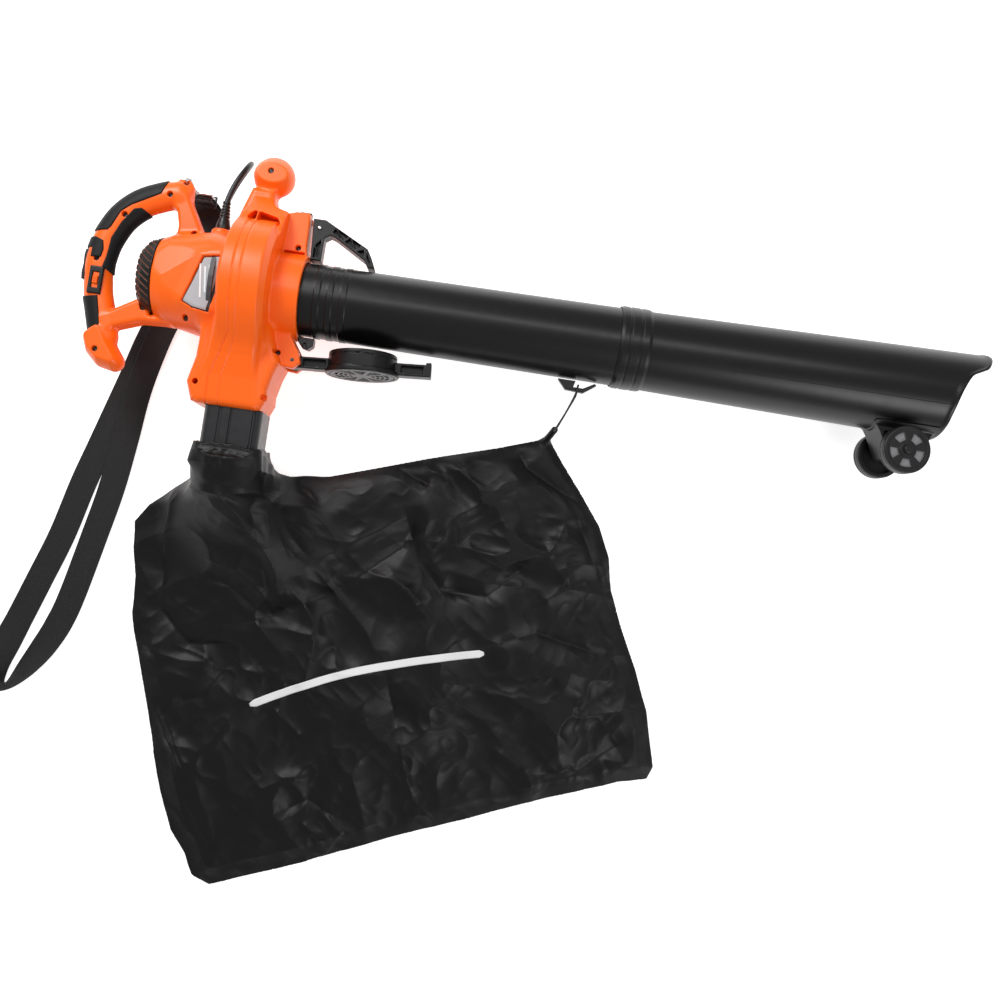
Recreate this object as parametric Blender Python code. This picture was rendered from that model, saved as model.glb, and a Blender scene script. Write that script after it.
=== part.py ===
"""Mains leaf blower and vacuum, in its vacuum set-up, lying on its left side.

+X runs along the fan shaft and the vacuum tube towards the nozzle, +Y is up in use, and +Z is the
right-hand side, which faces up while the machine lies down. The origin is the middle of the flat
pad under the left half of the fan scroll. Sizes are in metres.
"""

import math

import bmesh
import bpy
from mathutils import Matrix, Vector

MID = 0.105          # height of the plane where the two housing halves meet
GAP = 0.0003         # running gap between neighbouring pieces
SHAFT_R = 0.004
SCROLL_R = 0.0975
SCROLL_BACK = -0.0245
SCROLL_FRONT = 0.038
COLLAR_END = 0.075
THROAT_R = 0.0503
MOTOR_R = 0.072
MOTOR_SQUASH = 0.88
MOTOR_BACK = -0.1205
CHAMBER_FRONT = -0.030
TUBE_WALL = 0.0025
TUBE_START = 0.060
TUBE_JOIN = 0.527
WHEEL_R = 0.0325
WHEEL_CENTRE = (0.911, -0.0905)
HINGE = (0.0747, -0.088)
COVER_TILT = math.radians(4.5)
HANDLE_HALF = 0.0190
HANDLE_THICK = 0.016
PAD_SKIN = 0.0016
LUG_HOLE = (-0.1054, 0.1323)
CORD_R = 0.00375
WEB_WIDTH = 0.038
WEB_THICK = 0.0022
BAG_TOP = 0.026
FLOOR_GAP = 0.0005

HANDLE_LINE = [
    (-0.1131, 0.1167), (-0.131, 0.1115), (-0.1601, 0.0972), (-0.1827, 0.0751), (-0.1969, 0.0473), (-0.2032, 0.0236),
    (-0.2048, 0.0009), (-0.2006, -0.0307), (-0.1944, -0.0524), (-0.1873, -0.077), (-0.1838, -0.0908),
]

SCREWS = [
    (-0.1221, 0.1122, 0.011), (-0.1775, 0.0757, 0.011), (-0.2048, 0.0112, 0.0125), (-0.1345, -0.0461, 0.011),
    (-0.1867, -0.111, 0.015), (-0.082, 0.0636, 0.009), (-0.0704, -0.055, 0.030), (-0.0429, -0.1376, 0.020),
    (0.0541, -0.0814, 0.018), (0.0592, 0.0645, 0.014), (0.0078, 0.1633, 0.020),
]

BAG_OUTLINE = [
    (-0.0893, -0.3238), (-0.1153, -0.3073), (-0.1343, -0.3321), (-0.1215, -0.4108), (-0.1185, -0.4616), (-0.1061, -0.505),
    (-0.0731, -0.6031), (-0.058, -0.6555), (-0.0391, -0.7043), (-0.0164, -0.7564), (0.0085, -0.7874), (0.0232, -0.8148),
    (0.0496, -0.8276), (0.1613, -0.7863), (0.2678, -0.7424), (0.3642, -0.7048), (0.511, -0.648), (0.6113, -0.6115),
    (0.6522, -0.6023), (0.6592, -0.5829), (0.6383, -0.5025), (0.6146, -0.444), (0.5885, -0.3908), (0.5637, -0.3366),
    (0.5545, -0.2904), (0.5347, -0.2449), (0.5023, -0.2023), (0.4679, -0.160), (0.4417, -0.1252), (0.404, -0.1382),
    (0.3635, -0.1521), (0.2682, -0.1814), (0.1887, -0.2084), (0.1291, -0.2283), (0.089, -0.2314), (0.0544, -0.2686),
]


# ---------------------------------------------------------------- meshes and solids


def new_object(name, mesh):
    thing = bpy.data.objects.new(name, mesh)
    bpy.context.scene.collection.objects.link(thing)
    return thing


def from_bmesh(name, bm):
    bmesh.ops.remove_doubles(bm, verts=bm.verts, dist=1e-7)
    bmesh.ops.recalc_face_normals(bm, faces=bm.faces)
    mesh = bpy.data.meshes.new(name)
    bm.to_mesh(mesh)
    bm.free()
    return new_object(name, mesh)


def shade(thing, angle=35):
    thing.data.shade_smooth()
    thing.data.set_sharp_from_angle(angle=math.radians(angle))


def loft(name, rings, closed=False):
    """One solid through rings of equal length. A closed loft joins its last ring to its first."""
    bm = bmesh.new()
    rows = [[bm.verts.new(point) for point in ring] for ring in rings]
    pairs = list(zip(rows, rows[1:]))
    if closed:
        pairs.append((rows[-1], rows[0]))
    for first, second in pairs:
        for i in range(len(first)):
            j = (i + 1) % len(first)
            bm.faces.new((first[i], first[j], second[j], second[i]))
    if not closed:
        bm.faces.new(list(reversed(rows[0])))
        bm.faces.new(rows[-1])
    return from_bmesh(name, bm)


def prism(name, outline, low, high, axis="Z"):
    """An outline drawn across an axis, and extruded along it from low to high."""
    place = {
        "Z": lambda a, b, c: (a, b, c),
        "Y": lambda a, b, c: (a, c, b),
        "X": lambda a, b, c: (c, a, b),
    }[axis]
    return loft(name, [[place(a, b, c) for a, b in outline] for c in (low, high)])


def box(name, low, high):
    outline = [(low[0], low[1]), (high[0], low[1]), (high[0], high[1]), (low[0], high[1])]
    return prism(name, outline, low[2], high[2])


def turned(name, profile, centre, axis="X", sides=28, squash=1.0, arc=None):
    """A profile of (distance along the axis, radius) turned about it, whole or over an arc in degrees.

    The profile is a closed outline. Angles start at +Z for an X or Y axis and at +X for a Z axis.
    """
    place = {
        "X": lambda d, a, b: (centre[0] + d, centre[1] + b, centre[2] + a * squash),
        "Y": lambda d, a, b: (centre[0] + b, centre[1] + d, centre[2] + a * squash),
        "Z": lambda d, a, b: (centre[0] + a, centre[1] + b, centre[2] + d),
    }[axis]
    start, sweep = (0.0, 360.0) if arc is None else (arc[0], arc[1] - arc[0])
    count = sides if arc is None else sides + 1
    rings = []
    for i in range(count):
        angle = math.radians(start + sweep * i / sides)
        rings.append([place(d, r * math.cos(angle), r * math.sin(angle)) for d, r in profile])
    return loft(name, rings, closed=arc is None)


def plug(name, profile, centre, axis="X", sides=28, squash=1.0):
    """A solid of revolution from its outer profile alone, closed by flat ends."""
    place = {
        "X": lambda d, a, b: (centre[0] + d, centre[1] + b, centre[2] + a * squash),
        "Y": lambda d, a, b: (centre[0] + b, centre[1] + d, centre[2] + a * squash),
        "Z": lambda d, a, b: (centre[0] + a, centre[1] + b, centre[2] + d),
    }[axis]
    rings = []
    for d, r in profile:
        turn = [2 * math.pi * i / sides for i in range(sides)]
        rings.append([place(d, r * math.cos(t), r * math.sin(t)) for t in turn])
    return loft(name, rings)


def combine(target, others, operation):
    """Union, difference or intersection of target with each of the others, which are used up."""
    for other in others:
        cut = target.modifiers.new("shape", "BOOLEAN")
        cut.operation = operation
        cut.solver = "EXACT"
        cut.object = other
        graph = bpy.context.evaluated_depsgraph_get()
        mesh = bpy.data.meshes.new_from_object(target.evaluated_get(graph))
        target.modifiers.clear()
        target.data = mesh
        bpy.data.objects.remove(other)
    return target


def join(target, *others):
    return combine(target, others, "UNION")


def cut(target, *others):
    return combine(target, others, "DIFFERENCE")


def copy_of(thing, name):
    return new_object(name, thing.data.copy())


def rounded_box_outline(low, high, radius, steps=3):
    """A rectangle's outline with rounded corners."""
    outline = []
    corners = [(high[0], high[1], 0), (low[0], high[1], 90), (low[0], low[1], 180), (high[0], low[1], 270)]
    for x, y, start in corners:
        cx = x - radius if start in (0, 270) else x + radius
        cy = y - radius if start in (0, 90) else y + radius
        for i in range(steps):
            angle = math.radians(start + 90 * i / (steps - 1))
            outline.append((cx + radius * math.cos(angle), cy + radius * math.sin(angle)))
    return outline


def smooth_route(points, count):
    """Evenly spread points on a smooth curve through the given ones."""
    ends = [points[0]] + list(points) + [points[-1]]
    dense = []
    for i in range(len(points) - 1):
        a, b, c, d = [Vector(p) for p in ends[i:i + 4]]
        for k in range(24):
            t = k / 24
            dense.append(
                0.5 * (2 * b + (c - a) * t + (2 * a - 5 * b + 4 * c - d) * t * t + (3 * b - a - 3 * c + d) * t ** 3)
            )
    dense.append(Vector(points[-1]))
    lengths = [0.0]
    for a, b in zip(dense, dense[1:]):
        lengths.append(lengths[-1] + (b - a).length)
    route = []
    step = 0
    for i in range(count):
        want = lengths[-1] * i / (count - 1)
        while step < len(dense) - 2 and lengths[step + 1] < want:
            step += 1
        part = (want - lengths[step]) / max(lengths[step + 1] - lengths[step], 1e-9)
        route.append(dense[step].lerp(dense[step + 1], min(part, 1.0)))
    return route


def plane_normals(line):
    """Unit normals, to the left of travel, at each point of a line in the XY plane."""
    normals = []
    for i in range(len(line)):
        before = Vector(line[max(i - 1, 0)])
        after = Vector(line[min(i + 1, len(line) - 1)])
        along = (after - before).normalized()
        normals.append((-along.y, along.x))
    return normals


def swept(name, line, section):
    """A section of (sideways, height) carried along a line in the middle plane."""
    rings = []
    for (x, y), (nx, ny) in zip(line, plane_normals(line)):
        rings.append([(x + nx * a, y + ny * a, MID + b) for a, b in section])
    return loft(name, rings)


def part_of_line(line, first, last, count):
    """Points of a line between two shares of its length."""
    route = smooth_route([(x, y, 0) for x, y in line], 200)
    picked = []
    for i in range(count):
        share = first + (last - first) * i / (count - 1)
        place = route[min(int(round(share * 199)), 199)]
        picked.append((place.x, place.y))
    return picked


def tube_curve(name, route, radius, resolution, cyclic=False):
    """A round cord along a route."""
    curve = bpy.data.curves.new(name, "CURVE")
    curve.dimensions = "3D"
    curve.bevel_depth = radius
    curve.bevel_resolution = resolution
    curve.use_fill_caps = not cyclic
    spline = curve.splines.new("POLY")
    spline.points.add(len(route) - 1)
    for point, place in zip(spline.points, route):
        point.co = (place[0], place[1], place[2], 1.0)
    spline.use_cyclic_u = cyclic
    return new_object(name, curve)


def on_axis(thing, point):
    """Moves an object's origin to a point of its joint's axis and leaves its shape where it is."""
    shift = Vector(point)
    thing.data.transform(Matrix.Translation(-shift))
    thing.location = shift


# ---------------------------------------------------------------- housing


def mid(points):
    return [(x, y, MID + z) for x, y, z in points]


def housing_outside():
    """The two halves' outer shape as one solid."""
    body = plug(
        "body",
        [(SCROLL_BACK, 0.082), (SCROLL_BACK + 0.007, SCROLL_R), (0.030, SCROLL_R), (SCROLL_FRONT, 0.086)],
        (0, 0, MID), sides=40,
    )
    motor = plug(
        "motor", [(MOTOR_BACK, 0.0555), (-0.1045, 0.062), (-0.052, MOTOR_R), (-0.020, MOTOR_R)],
        (0, 0, MID), sides=32, squash=MOTOR_SQUASH,
    )
    collar = plug("collar", [(0.030, 0.059), (COLLAR_END, 0.0575)], (0, 0, MID), sides=32)
    spigot = prism(
        "spigot",
        [(-0.0477, -0.0551), (-0.0484, -0.104), (-0.0556, -0.1377), (-0.0455, -0.1630), (0.0452, -0.1630),
         (0.0513, -0.1482), (0.0506, -0.1351), (0.0559, -0.1111), (0.061, -0.097), (0.0414, -0.0555)],
        MID - 0.042, MID + 0.042,
    )
    stalk = prism(
        "stalk",
        [(-0.0371, 0.0703), (-0.0149, 0.1402), (0.0158, 0.1396), (0.0185, 0.1255), (0.0251, 0.1154), (0.0424, 0.1095),
         (0.0417, 0.0709)],
        MID - 0.017, MID + 0.017,
    )
    knob = plug(
        "knob",
        [(-0.027 * math.cos(math.radians(15 + 25 * i)), 0.029 * math.sin(math.radians(15 + 25 * i))) for i in range(7)],
        (0.0095, 0.1612, MID), axis="Z", sides=18,
    )
    latch_block = prism(
        "block",
        [(0.0356, 0.0506), (0.0385, 0.1095), (0.0503, 0.1137), (0.0688, 0.1139), (0.0699, 0.0681), (0.0739, 0.0508)],
        MID - 0.020, MID + 0.020,
    )
    bracket_outline = [
        (0.0396, -0.0505), (0.0667, -0.0506), (0.0685, -0.0567), (0.0818, -0.077), (0.0854, -0.0901), (0.0765, -0.0992),
        (0.0436, -0.0968),
    ]
    bracket = prism("bracket", bracket_outline, MID - 0.024, MID + 0.024)
    neck = prism(
        "neck",
        [(-0.1153, 0.0967), (-0.1149, 0.1207), (-0.0999, 0.1189), (-0.0723, 0.068), (-0.0565, 0.0501), (-0.1056, 0.0498),
         (-0.1062, 0.0738), (-0.1107, 0.0917)],
        MID - 0.014, MID + 0.014,
    )
    lug = prism(
        "lug",
        [(-0.116, 0.1117), (-0.1156, 0.1382), (-0.1015, 0.1384), (-0.095, 0.130), (-0.0991, 0.1119)],
        MID - 0.005, MID + 0.005,
    )
    ring = [2 * math.pi * i / 12 for i in range(12)]
    section = [(HANDLE_HALF * math.cos(t), HANDLE_THICK * math.sin(t)) for t in ring]
    handle = swept("handle", part_of_line(HANDLE_LINE, 0.0, 1.0, 16), section)
    foot = prism(
        "foot",
        [(-0.2021, -0.0828), (-0.2096, -0.0935), (-0.2043, -0.1122), (-0.1852, -0.1321), (-0.1613, -0.1363),
         (-0.150, -0.1246), (-0.1691, -0.0988), (-0.1689, -0.0831)],
        MID - 0.019, MID + 0.019,
    )
    arm = prism(
        "arm",
        [(-0.1936, -0.0652), (-0.1778, -0.0554), (-0.1432, -0.0338), (-0.1311, -0.0358), (-0.1249, -0.0569),
         (-0.1034, -0.057), (-0.1035, -0.0637), (-0.1362, -0.0655), (-0.1689, -0.0781), (-0.1847, -0.0928)],
        MID - 0.015, MID + 0.015,
    )
    dome = plug("dome", [(0.050, 0.014), (0.074, 0.014), (0.078, 0.010)], (-0.0494, 0, MID), axis="Y", sides=16)
    rest = plug("rest", [(0.0, 0.026), (0.030, 0.026)], (0.005, 0, 0), axis="Z", sides=24)
    join(body, motor, collar, spigot, stalk, knob, latch_block, bracket, neck, lug, handle, foot, arm, dome, rest)
    return body


def housing_inside():
    """The hollows of the housing, as cutters."""
    chamber = plug(
        "chamber", [(MOTOR_BACK - 0.01, 0.0510), (-0.1045, 0.058), (-0.052, 0.068), (CHAMBER_FRONT, 0.068)],
        (0, 0, MID), sides=32, squash=MOTOR_SQUASH,
    )
    air_way = plug(
        "air_way",
        [(-0.034, 0.012), (-0.022, 0.012), (-0.022, 0.090), (0.034, 0.090), (0.034, THROAT_R),
         (COLLAR_END + 0.01, THROAT_R)],
        (0, 0, MID), sides=36,
    )
    outlet = box("outlet", (-0.0275, -0.180, MID - 0.0335), (0.0405, -0.060, MID + 0.0335))
    knuckle_slot = box("slot", (0.0636, -0.1111, MID - 0.012), (0.0958, -0.0593, MID + 0.012))
    knuckle_bore = plug("bore", [(-0.030, 0.0030), (0.030, 0.0030)], (*HINGE, MID), axis="Z", sides=14)
    button_well = box("well", (0.0527, 0.102, MID - 0.0063), (0.0682, 0.122, MID + 0.0063))
    interlock_room = box("interlock", (0.0486, 0.075, MID - 0.006), (0.0664, 0.0915, MID + 0.006))
    rocker_well = box("rocker", (-0.2344, -0.0203, MID - 0.0085), (-0.2132, 0.026, MID + 0.0085))
    switch_room = box("switch", (-0.2147, -0.0169, MID - 0.010), (-0.1951, 0.0063, MID + 0.010))
    board_room = box("board", (-0.2028, -0.0602, MID - 0.006), (-0.1877, -0.0337, MID + 0.006))
    lug_hole = plug("lug_hole", [(-0.010, 0.0032), (0.010, 0.0032)], (*LUG_HOLE, MID), axis="Z", sides=12)
    boot_seat = plug("seat", [(0.060, 0.006), (0.090, 0.006)], (-0.0494, 0, MID), axis="Y", sides=14)
    return [
        chamber, air_way, outlet, knuckle_slot, knuckle_bore, button_well, interlock_room,
        rocker_well, switch_room, board_room, lug_hole, boot_seat,
    ]


def make_housing():
    right = housing_outside()
    left = copy_of(right, "left")
    right.name = "housing_right_shell"
    left.name = "housing_left_shell"
    big = 0.5
    cut(right, box("below", (-big, -big, -0.01), (big, big, MID)), *housing_inside())
    cut(left, box("above", (-big, -big, MID - GAP), (big, big, 0.4)), *housing_inside())
    for x, y, head in SCREWS:
        z = MID + head
        cut(right, plug("recess", [(z - 0.0063, 0.0039), (z + 0.09, 0.0039)], (x, y, 0), axis="Z", sides=10))
    for i, (x, y, head) in enumerate(SCREWS, 1):
        z = MID + head
        plug(f"housing_screw_{i:02d}", [(z - 0.006, 0.0036), (z, 0.0036)], (x, y, 0), axis="Z", sides=10)


def make_vent_cap():
    """Dished cap over the motor's rear, notched where the handle's lower arm meets the housing."""
    cap = turned(
        "rear_vent_cap",
        [(-0.1208, 0.0555), (-0.134, 0.050), (-0.1435, 0.040), (-0.1475, 0.020), (-0.1475, 0.006),
         (-0.1450, 0.006), (-0.1450, 0.019), (-0.1410, 0.038), (-0.133, 0.047), (-0.1208, 0.0525)],
        (0, 0, MID), sides=32, squash=MOTOR_SQUASH,
    )
    cut(cap, box("notch", (-0.165, -0.070, MID - 0.0155), (-0.112, -0.0325, MID + 0.0155)))


def make_name_plate():
    turned(
        "name_plate", [(-0.062, 0.0728), (-0.034, 0.0728), (-0.034, 0.0740), (-0.062, 0.0740)],
        (0, 0, MID), sides=12, squash=MOTOR_SQUASH, arc=(-36, 22),
    )


# ---------------------------------------------------------------- handle fittings


def grip_section(inner_gap, skin, first, last, steps):
    """A strip that wraps the handle's section between two angles. 180 degrees is the outer side."""
    outside = []
    inside = []
    for i in range(steps + 1):
        angle = math.radians(first + (last - first) * i / steps)
        inside.append(
            ((HANDLE_HALF + inner_gap) * math.cos(angle), (HANDLE_THICK + inner_gap) * math.sin(angle))
        )
        outside.append(
            ((HANDLE_HALF + inner_gap + skin) * math.cos(angle), (HANDLE_THICK + inner_gap + skin) * math.sin(angle))
        )
    return inside + outside[::-1]


def make_grips():
    # The handle's line runs anticlockwise from its top, so its outer side is at -sideways: 180 degrees.
    wrap = [
        ("grip_pad_upper", 0.065, 0.430, 9, 84, 276),
        ("grip_pad_inner", 0.14, 0.60, 10, -58, 58),
        ("grip_pad_lower", 0.800, 0.945, 5, 104, 256),
    ]
    for name, first, last, count, low, high in wrap:
        line = part_of_line(HANDLE_LINE, first, last, count)
        swept(name, line, grip_section(0.0004, PAD_SKIN, low, high, 10))


def make_switches():
    face = MID + 0.0163
    bezel = prism("switch_bezel", rounded_box_outline((-0.2098, -0.0375), (-0.1919, -0.0001), 0.004), face, face + 0.002)
    cut(bezel, box("window", (-0.2052, -0.0297, face - 0.01), (-0.1966, -0.008, face + 0.01)))
    slider = prism(
        "speed_slider", rounded_box_outline((-0.2046, -0.0238), (-0.1972, -0.0139), 0.0015), face, face + 0.0038
    )
    on_axis(slider, (-0.2009, -0.0189, face))
    rocker = prism(
        "power_rocker",
        [(-0.2238, -0.0178), (-0.2246, -0.008), (-0.2241, 0.0028), (-0.2244, 0.0136), (-0.2234, 0.0235),
         (-0.2174, 0.0235), (-0.2158, 0.0028), (-0.2179, -0.0178)],
        MID - 0.008, MID + 0.008,
    )
    on_axis(rocker, (-0.219, 0.0028, MID))
    prism("switch_module", rounded_box_outline((-0.2133, -0.0159), (-0.196, 0.0053), 0.002), MID - 0.009, MID + 0.009)
    prism(
        "speed_control_board", rounded_box_outline((-0.2018, -0.0592), (-0.1886, -0.0347), 0.001),
        MID - 0.0015, MID + 0.0015,
    )
    prism("interlock_switch", rounded_box_outline((0.0496, 0.0761), (0.0654, 0.0904), 0.001), MID - 0.005, MID + 0.005)
    button = prism("tube_release_button", rounded_box_outline((0.053, 0.1056), (0.0679, 0.119), 0.0015), MID - 0.006, MID + 0.006)
    on_axis(button, (0.0603, 0.1057, MID))


# ---------------------------------------------------------------- motor and fan


def ring_piece(name, start, end, inner, outer, sides=28):
    return turned(
        name, [(start, inner), (end, inner), (end, outer), (start, outer)], (0, 0, MID), sides=sides
    )


def make_motor():
    shaft = plug("motor_shaft", [(-0.1305, SHAFT_R), (0.032, SHAFT_R)], (0, 0, MID), sides=16)
    held = SHAFT_R + GAP
    armature = ring_piece("armature", -0.100, -0.056, held, 0.022, 20)
    commutator = ring_piece("commutator", -0.1165, -0.1033, held, 0.013, 16)
    ring_piece("stator_core", -0.098, -0.058, 0.0345, 0.043, 28)
    for name, middle in (("field_coil_upper", 90), ("field_coil_lower", 270)):
        turned(
            name, [(-0.104, 0.0255), (-0.052, 0.0255), (-0.052, 0.0340), (-0.104, 0.0340)],
            (0, 0, MID), sides=10, arc=(middle - 55, middle + 55),
        )
    ring_piece("rear_bearing", -0.1295, -0.1225, held, 0.011, 20)
    ring_piece("motor_end_bracket", -0.1290, -0.1240, 0.0113, 0.040, 24)
    ring_piece("front_bearing", -0.0440, -0.0360, held, 0.013, 20)
    turned(
        "fan_bulkhead", [(-0.0430, 0.0153), (-0.0370, 0.0153), (-0.0370, 0.0665), (-0.0430, 0.0665)],
        (0, 0, MID), sides=32, squash=MOTOR_SQUASH,
    )
    for name, low, high in (("brush_holder_upper", 0.0140, 0.030), ("brush_holder_lower", -0.030, -0.0140)):
        box(name, (-0.1145, low, MID - 0.005), (-0.1055, high, MID + 0.005))
    impeller = plug("impeller", [(-0.016, 0.082), (-0.012, 0.082)], (0, 0, MID), sides=24)
    hub = plug("hub", [(-0.014, 0.016), (0.020, 0.014)], (0, 0, MID), sides=24)
    join(impeller, hub)
    for i in range(8):
        vane = box("vane", (-0.014, 0.010, -0.0015), (0.022, 0.080, 0.0015))
        vane.data.transform(Matrix.Rotation(math.radians(45 * i + 11), 4, "X"))
        vane.data.transform(Matrix.Translation((0, 0, MID)))
        join(impeller, vane)
    cut(impeller, plug("bore", [(-0.02, held), (0.03, held)], (0, 0, MID), sides=16))
    nut = turned(
        "impeller_nut", [(0.0203, 0.0050), (0.0260, 0.0050), (0.0260, 0.0085), (0.0203, 0.0085)], (0, 0, MID), sides=6
    )
    return [shaft, armature, commutator, impeller, nut]


# ---------------------------------------------------------------- outlet, tubes, wheels


def make_outlet_duct():
    low = MID - 0.036
    high = MID + 0.036
    duct = prism("outlet_duct", rounded_box_outline((-0.029, low), (0.048, high), 0.014), -0.235, -0.1635, "Y")
    neck = prism("neck", rounded_box_outline((-0.027, low + 0.003), (0.040, high - 0.003), 0.012), -0.166, -0.150, "Y")
    bore = prism("bore", rounded_box_outline((-0.024, low + 0.006), (0.037, high - 0.006), 0.010), -0.25, -0.14, "Y")
    cut(join(duct, neck), bore)


def tube_piece(name, stations):
    outer = [(x, r) for x, r in stations]
    inner = [(x, r - TUBE_WALL) for x, r in reversed((stations[0], stations[-1]))]
    return turned(name, outer + inner, (0, 0, MID), sides=36)


def make_tubes():
    ribs = []
    for x in (0.094, 0.111, 0.129):
        ribs += [(x - 0.001, 0.0497), (x, 0.0508), (x + 0.008, 0.0508), (x + 0.009, 0.0498)]
    tube_piece("upper_tube", [(TUBE_START, 0.0493)] + ribs + [(TUBE_JOIN, 0.0540)])
    flare = [(TUBE_JOIN + GAP, 0.0540), (1.060, 0.0647)]
    lower = plug("lower_tube", flare, (0, 0, MID), sides=36)
    x, y = WHEEL_CENTRE
    carrier = prism(
        "carrier",
        [(0.8736, -0.0542), (0.9583, -0.0546), (0.9507, -0.0722), (x + 0.012, y - 0.010), (x, y - 0.014),
         (x - 0.014, y - 0.010), (0.8822, -0.0674)],
        MID - 0.026, MID + 0.026,
    )
    axle_bore = plug("axle_bore", [(-0.05, 0.0043), (0.05, 0.0043)], (x, y, MID), axis="Z", sides=16)
    slope = (flare[1][1] - flare[0][1]) / (flare[1][0] - flare[0][0])
    inside = plug(
        "inside", [(x_end, flare[0][1] - TUBE_WALL + slope * (x_end - flare[0][0])) for x_end in (0.50, 1.09)],
        (0, 0, MID), sides=36,
    )
    mouth = prism(
        "mouth",
        [(1.0220, 0.0900), (1.0215, 0.0530), (1.0110, 0.0360), (0.9993, 0.0290), (0.9850, 0.0195), (0.9730, -0.0040),
         (0.9675, -0.0300), (0.9672, -0.0460), (0.9665, -0.0640), (0.9660, -0.0880), (1.120, -0.0880), (1.120, 0.0900)],
        0.0, 0.3,
    )
    join(lower, carrier)
    cut(lower, inside, axle_bore, mouth)
    turned("coupling_ring", [(0.506, 0.0547), (0.548, 0.0547), (0.548, 0.0569), (0.506, 0.0569)], (0, 0, MID), sides=36)


def make_wheels():
    x, y = WHEEL_CENTRE
    wheels = []
    for name, low, high in (("right_wheel", 0.034, 0.052), ("left_wheel", -0.052, -0.034)):
        chamfer = 0.0025
        wheel = turned(
            name,
            [(low, 0.0043), (high, 0.0043), (high, WHEEL_R - chamfer), (high - chamfer, WHEEL_R),
             (low + chamfer, WHEEL_R), (low, WHEEL_R - chamfer)],
            (x, y, MID), axis="Z", sides=28,
        )
        on_axis(wheel, (x, y, MID))
        wheels.append(wheel)
    plug(
        "wheel_axle",
        [(-0.056, 0.0062), (-0.0525, 0.0062), (-0.0524, 0.0040), (0.0524, 0.0040), (0.0525, 0.0062), (0.056, 0.0062)],
        (x, y, MID), axis="Z", sides=16,
    )
    return wheels


def make_tube_fittings():
    arm = prism(
        "tube_latch_arm",
        [(0.0721, 0.1109), (0.0892, 0.1111), (0.1507, 0.080), (0.1574, 0.0687), (0.164, 0.0544), (0.1541, 0.0544),
         (0.1484, 0.0636), (0.1045, 0.0888), (0.0977, 0.0907), (0.0907, 0.0856), (0.0901, 0.054), (0.0754, 0.0539),
         (0.0747, 0.0681)],
        MID - 0.011, MID + 0.011,
    )
    cut(arm, plug("bore", [(-0.02, 0.0030), (0.02, 0.0030)], (0.0822, 0.0988, MID), axis="Z", sides=12))
    plug("latch_pin", [(-0.013, 0.0027), (0.013, 0.0027)], (0.0822, 0.0988, MID), axis="Z", sides=12)
    prism(
        "tube_lock_hook",
        [(0.0754, -0.0526), (0.0969, -0.0527), (0.0967, -0.0629), (0.0897, -0.0689), (0.0819, -0.0668), (0.0753, -0.0587)],
        MID - 0.009, MID + 0.009,
    )
    prism(
        "bag_hook",
        [(0.4333, -0.0559), (0.4455, -0.0696), (0.4706, -0.0713), (0.4878, -0.0588), (0.4853, -0.0561),
         (0.4697, -0.065), (0.4561, -0.0649), (0.4584, -0.056)],
        MID - 0.005, MID + 0.005,
    )


def make_intake_cover():
    """Hinged cover, swung away from the collar: an arm, a round plug and its flange."""
    arm = prism(
        "intake_cover",
        [(-0.008, -0.008), (-0.004, 0.008), (0.180, 0.008), (0.180, 0.011), (0.186, 0.011), (0.186, -0.009),
         (0.080, -0.009), (0.010, -0.008)],
        -0.0115, 0.0115,
    )
    knuckle = plug("knuckle", [(-0.0115, 0.009), (0.0115, 0.009)], (0, 0, 0), axis="Z", sides=16)
    drum = plug("drum", [(-0.006, 0.0465), (0.018, 0.0465)], (0.092, 0, 0), axis="Y", sides=32)
    flange = plug("flange", [(-0.012, 0.0500), (-0.005, 0.0500)], (0.092, 0, 0), axis="Y", sides=32)
    join(arm, knuckle, drum, flange)
    cut(arm, plug("bore", [(-0.03, 0.0030), (0.03, 0.0030)], (0, 0, 0), axis="Z", sides=14))
    arm.data.transform(Matrix.Rotation(COVER_TILT, 4, "Z"))
    arm.location = (*HINGE, MID)
    plug("cover_hinge_pin", [(-0.0245, 0.0027), (0.0245, 0.0027)], (*HINGE, MID), axis="Z", sides=12)
    return arm


# ---------------------------------------------------------------- cord, strap, bag


def make_cord():
    turned(
        "cable_boot",
        [(0.0783, 0.0044), (0.117, 0.0044), (0.117, 0.0058), (0.098, 0.0068), (0.084, 0.0095), (0.0783, 0.0095)],
        (-0.0494, 0, MID), axis="Y", sides=16,
    )
    route = [
        (-0.0494, 0.0800, MID), (-0.0494, 0.1000, MID), (-0.0494, 0.1190, MID), (-0.0425, 0.1440, 0.1045),
        (-0.0340, 0.1670, 0.0985), (-0.0315, 0.1835, 0.0820), (-0.0375, 0.1895, 0.0590), (-0.0510, 0.1830, 0.0360),
        (-0.0655, 0.1660, 0.0195), (-0.0750, 0.1430, 0.0130), (-0.0772, 0.1180, 0.0125), (-0.0746, 0.0950, 0.0125),
        (-0.0695, 0.0760, 0.0132), (-0.0648, 0.0610, 0.0158), (-0.0620, 0.0500, 0.0181), (-0.0611, 0.0440, 0.0188),
        (-0.0609, 0.0397, 0.0190),
    ]
    tube_curve("power_cord", smooth_route(route, 34), CORD_R, 2)
    body = plug(
        "mains_plug", [(-0.006, 0.0172), (0.012, 0.0182), (0.022, 0.0150), (0.036, 0.0060)],
        (-0.0609, 0.0029, 0.0190), axis="Y", sides=20,
    )
    for side in (-0.0095, 0.0095):
        join(body, plug("pin", [(-0.025, 0.0024), (-0.004, 0.0024)], (-0.0609 + side, 0.0029, 0.0190), axis="Y", sides=10))


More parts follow.
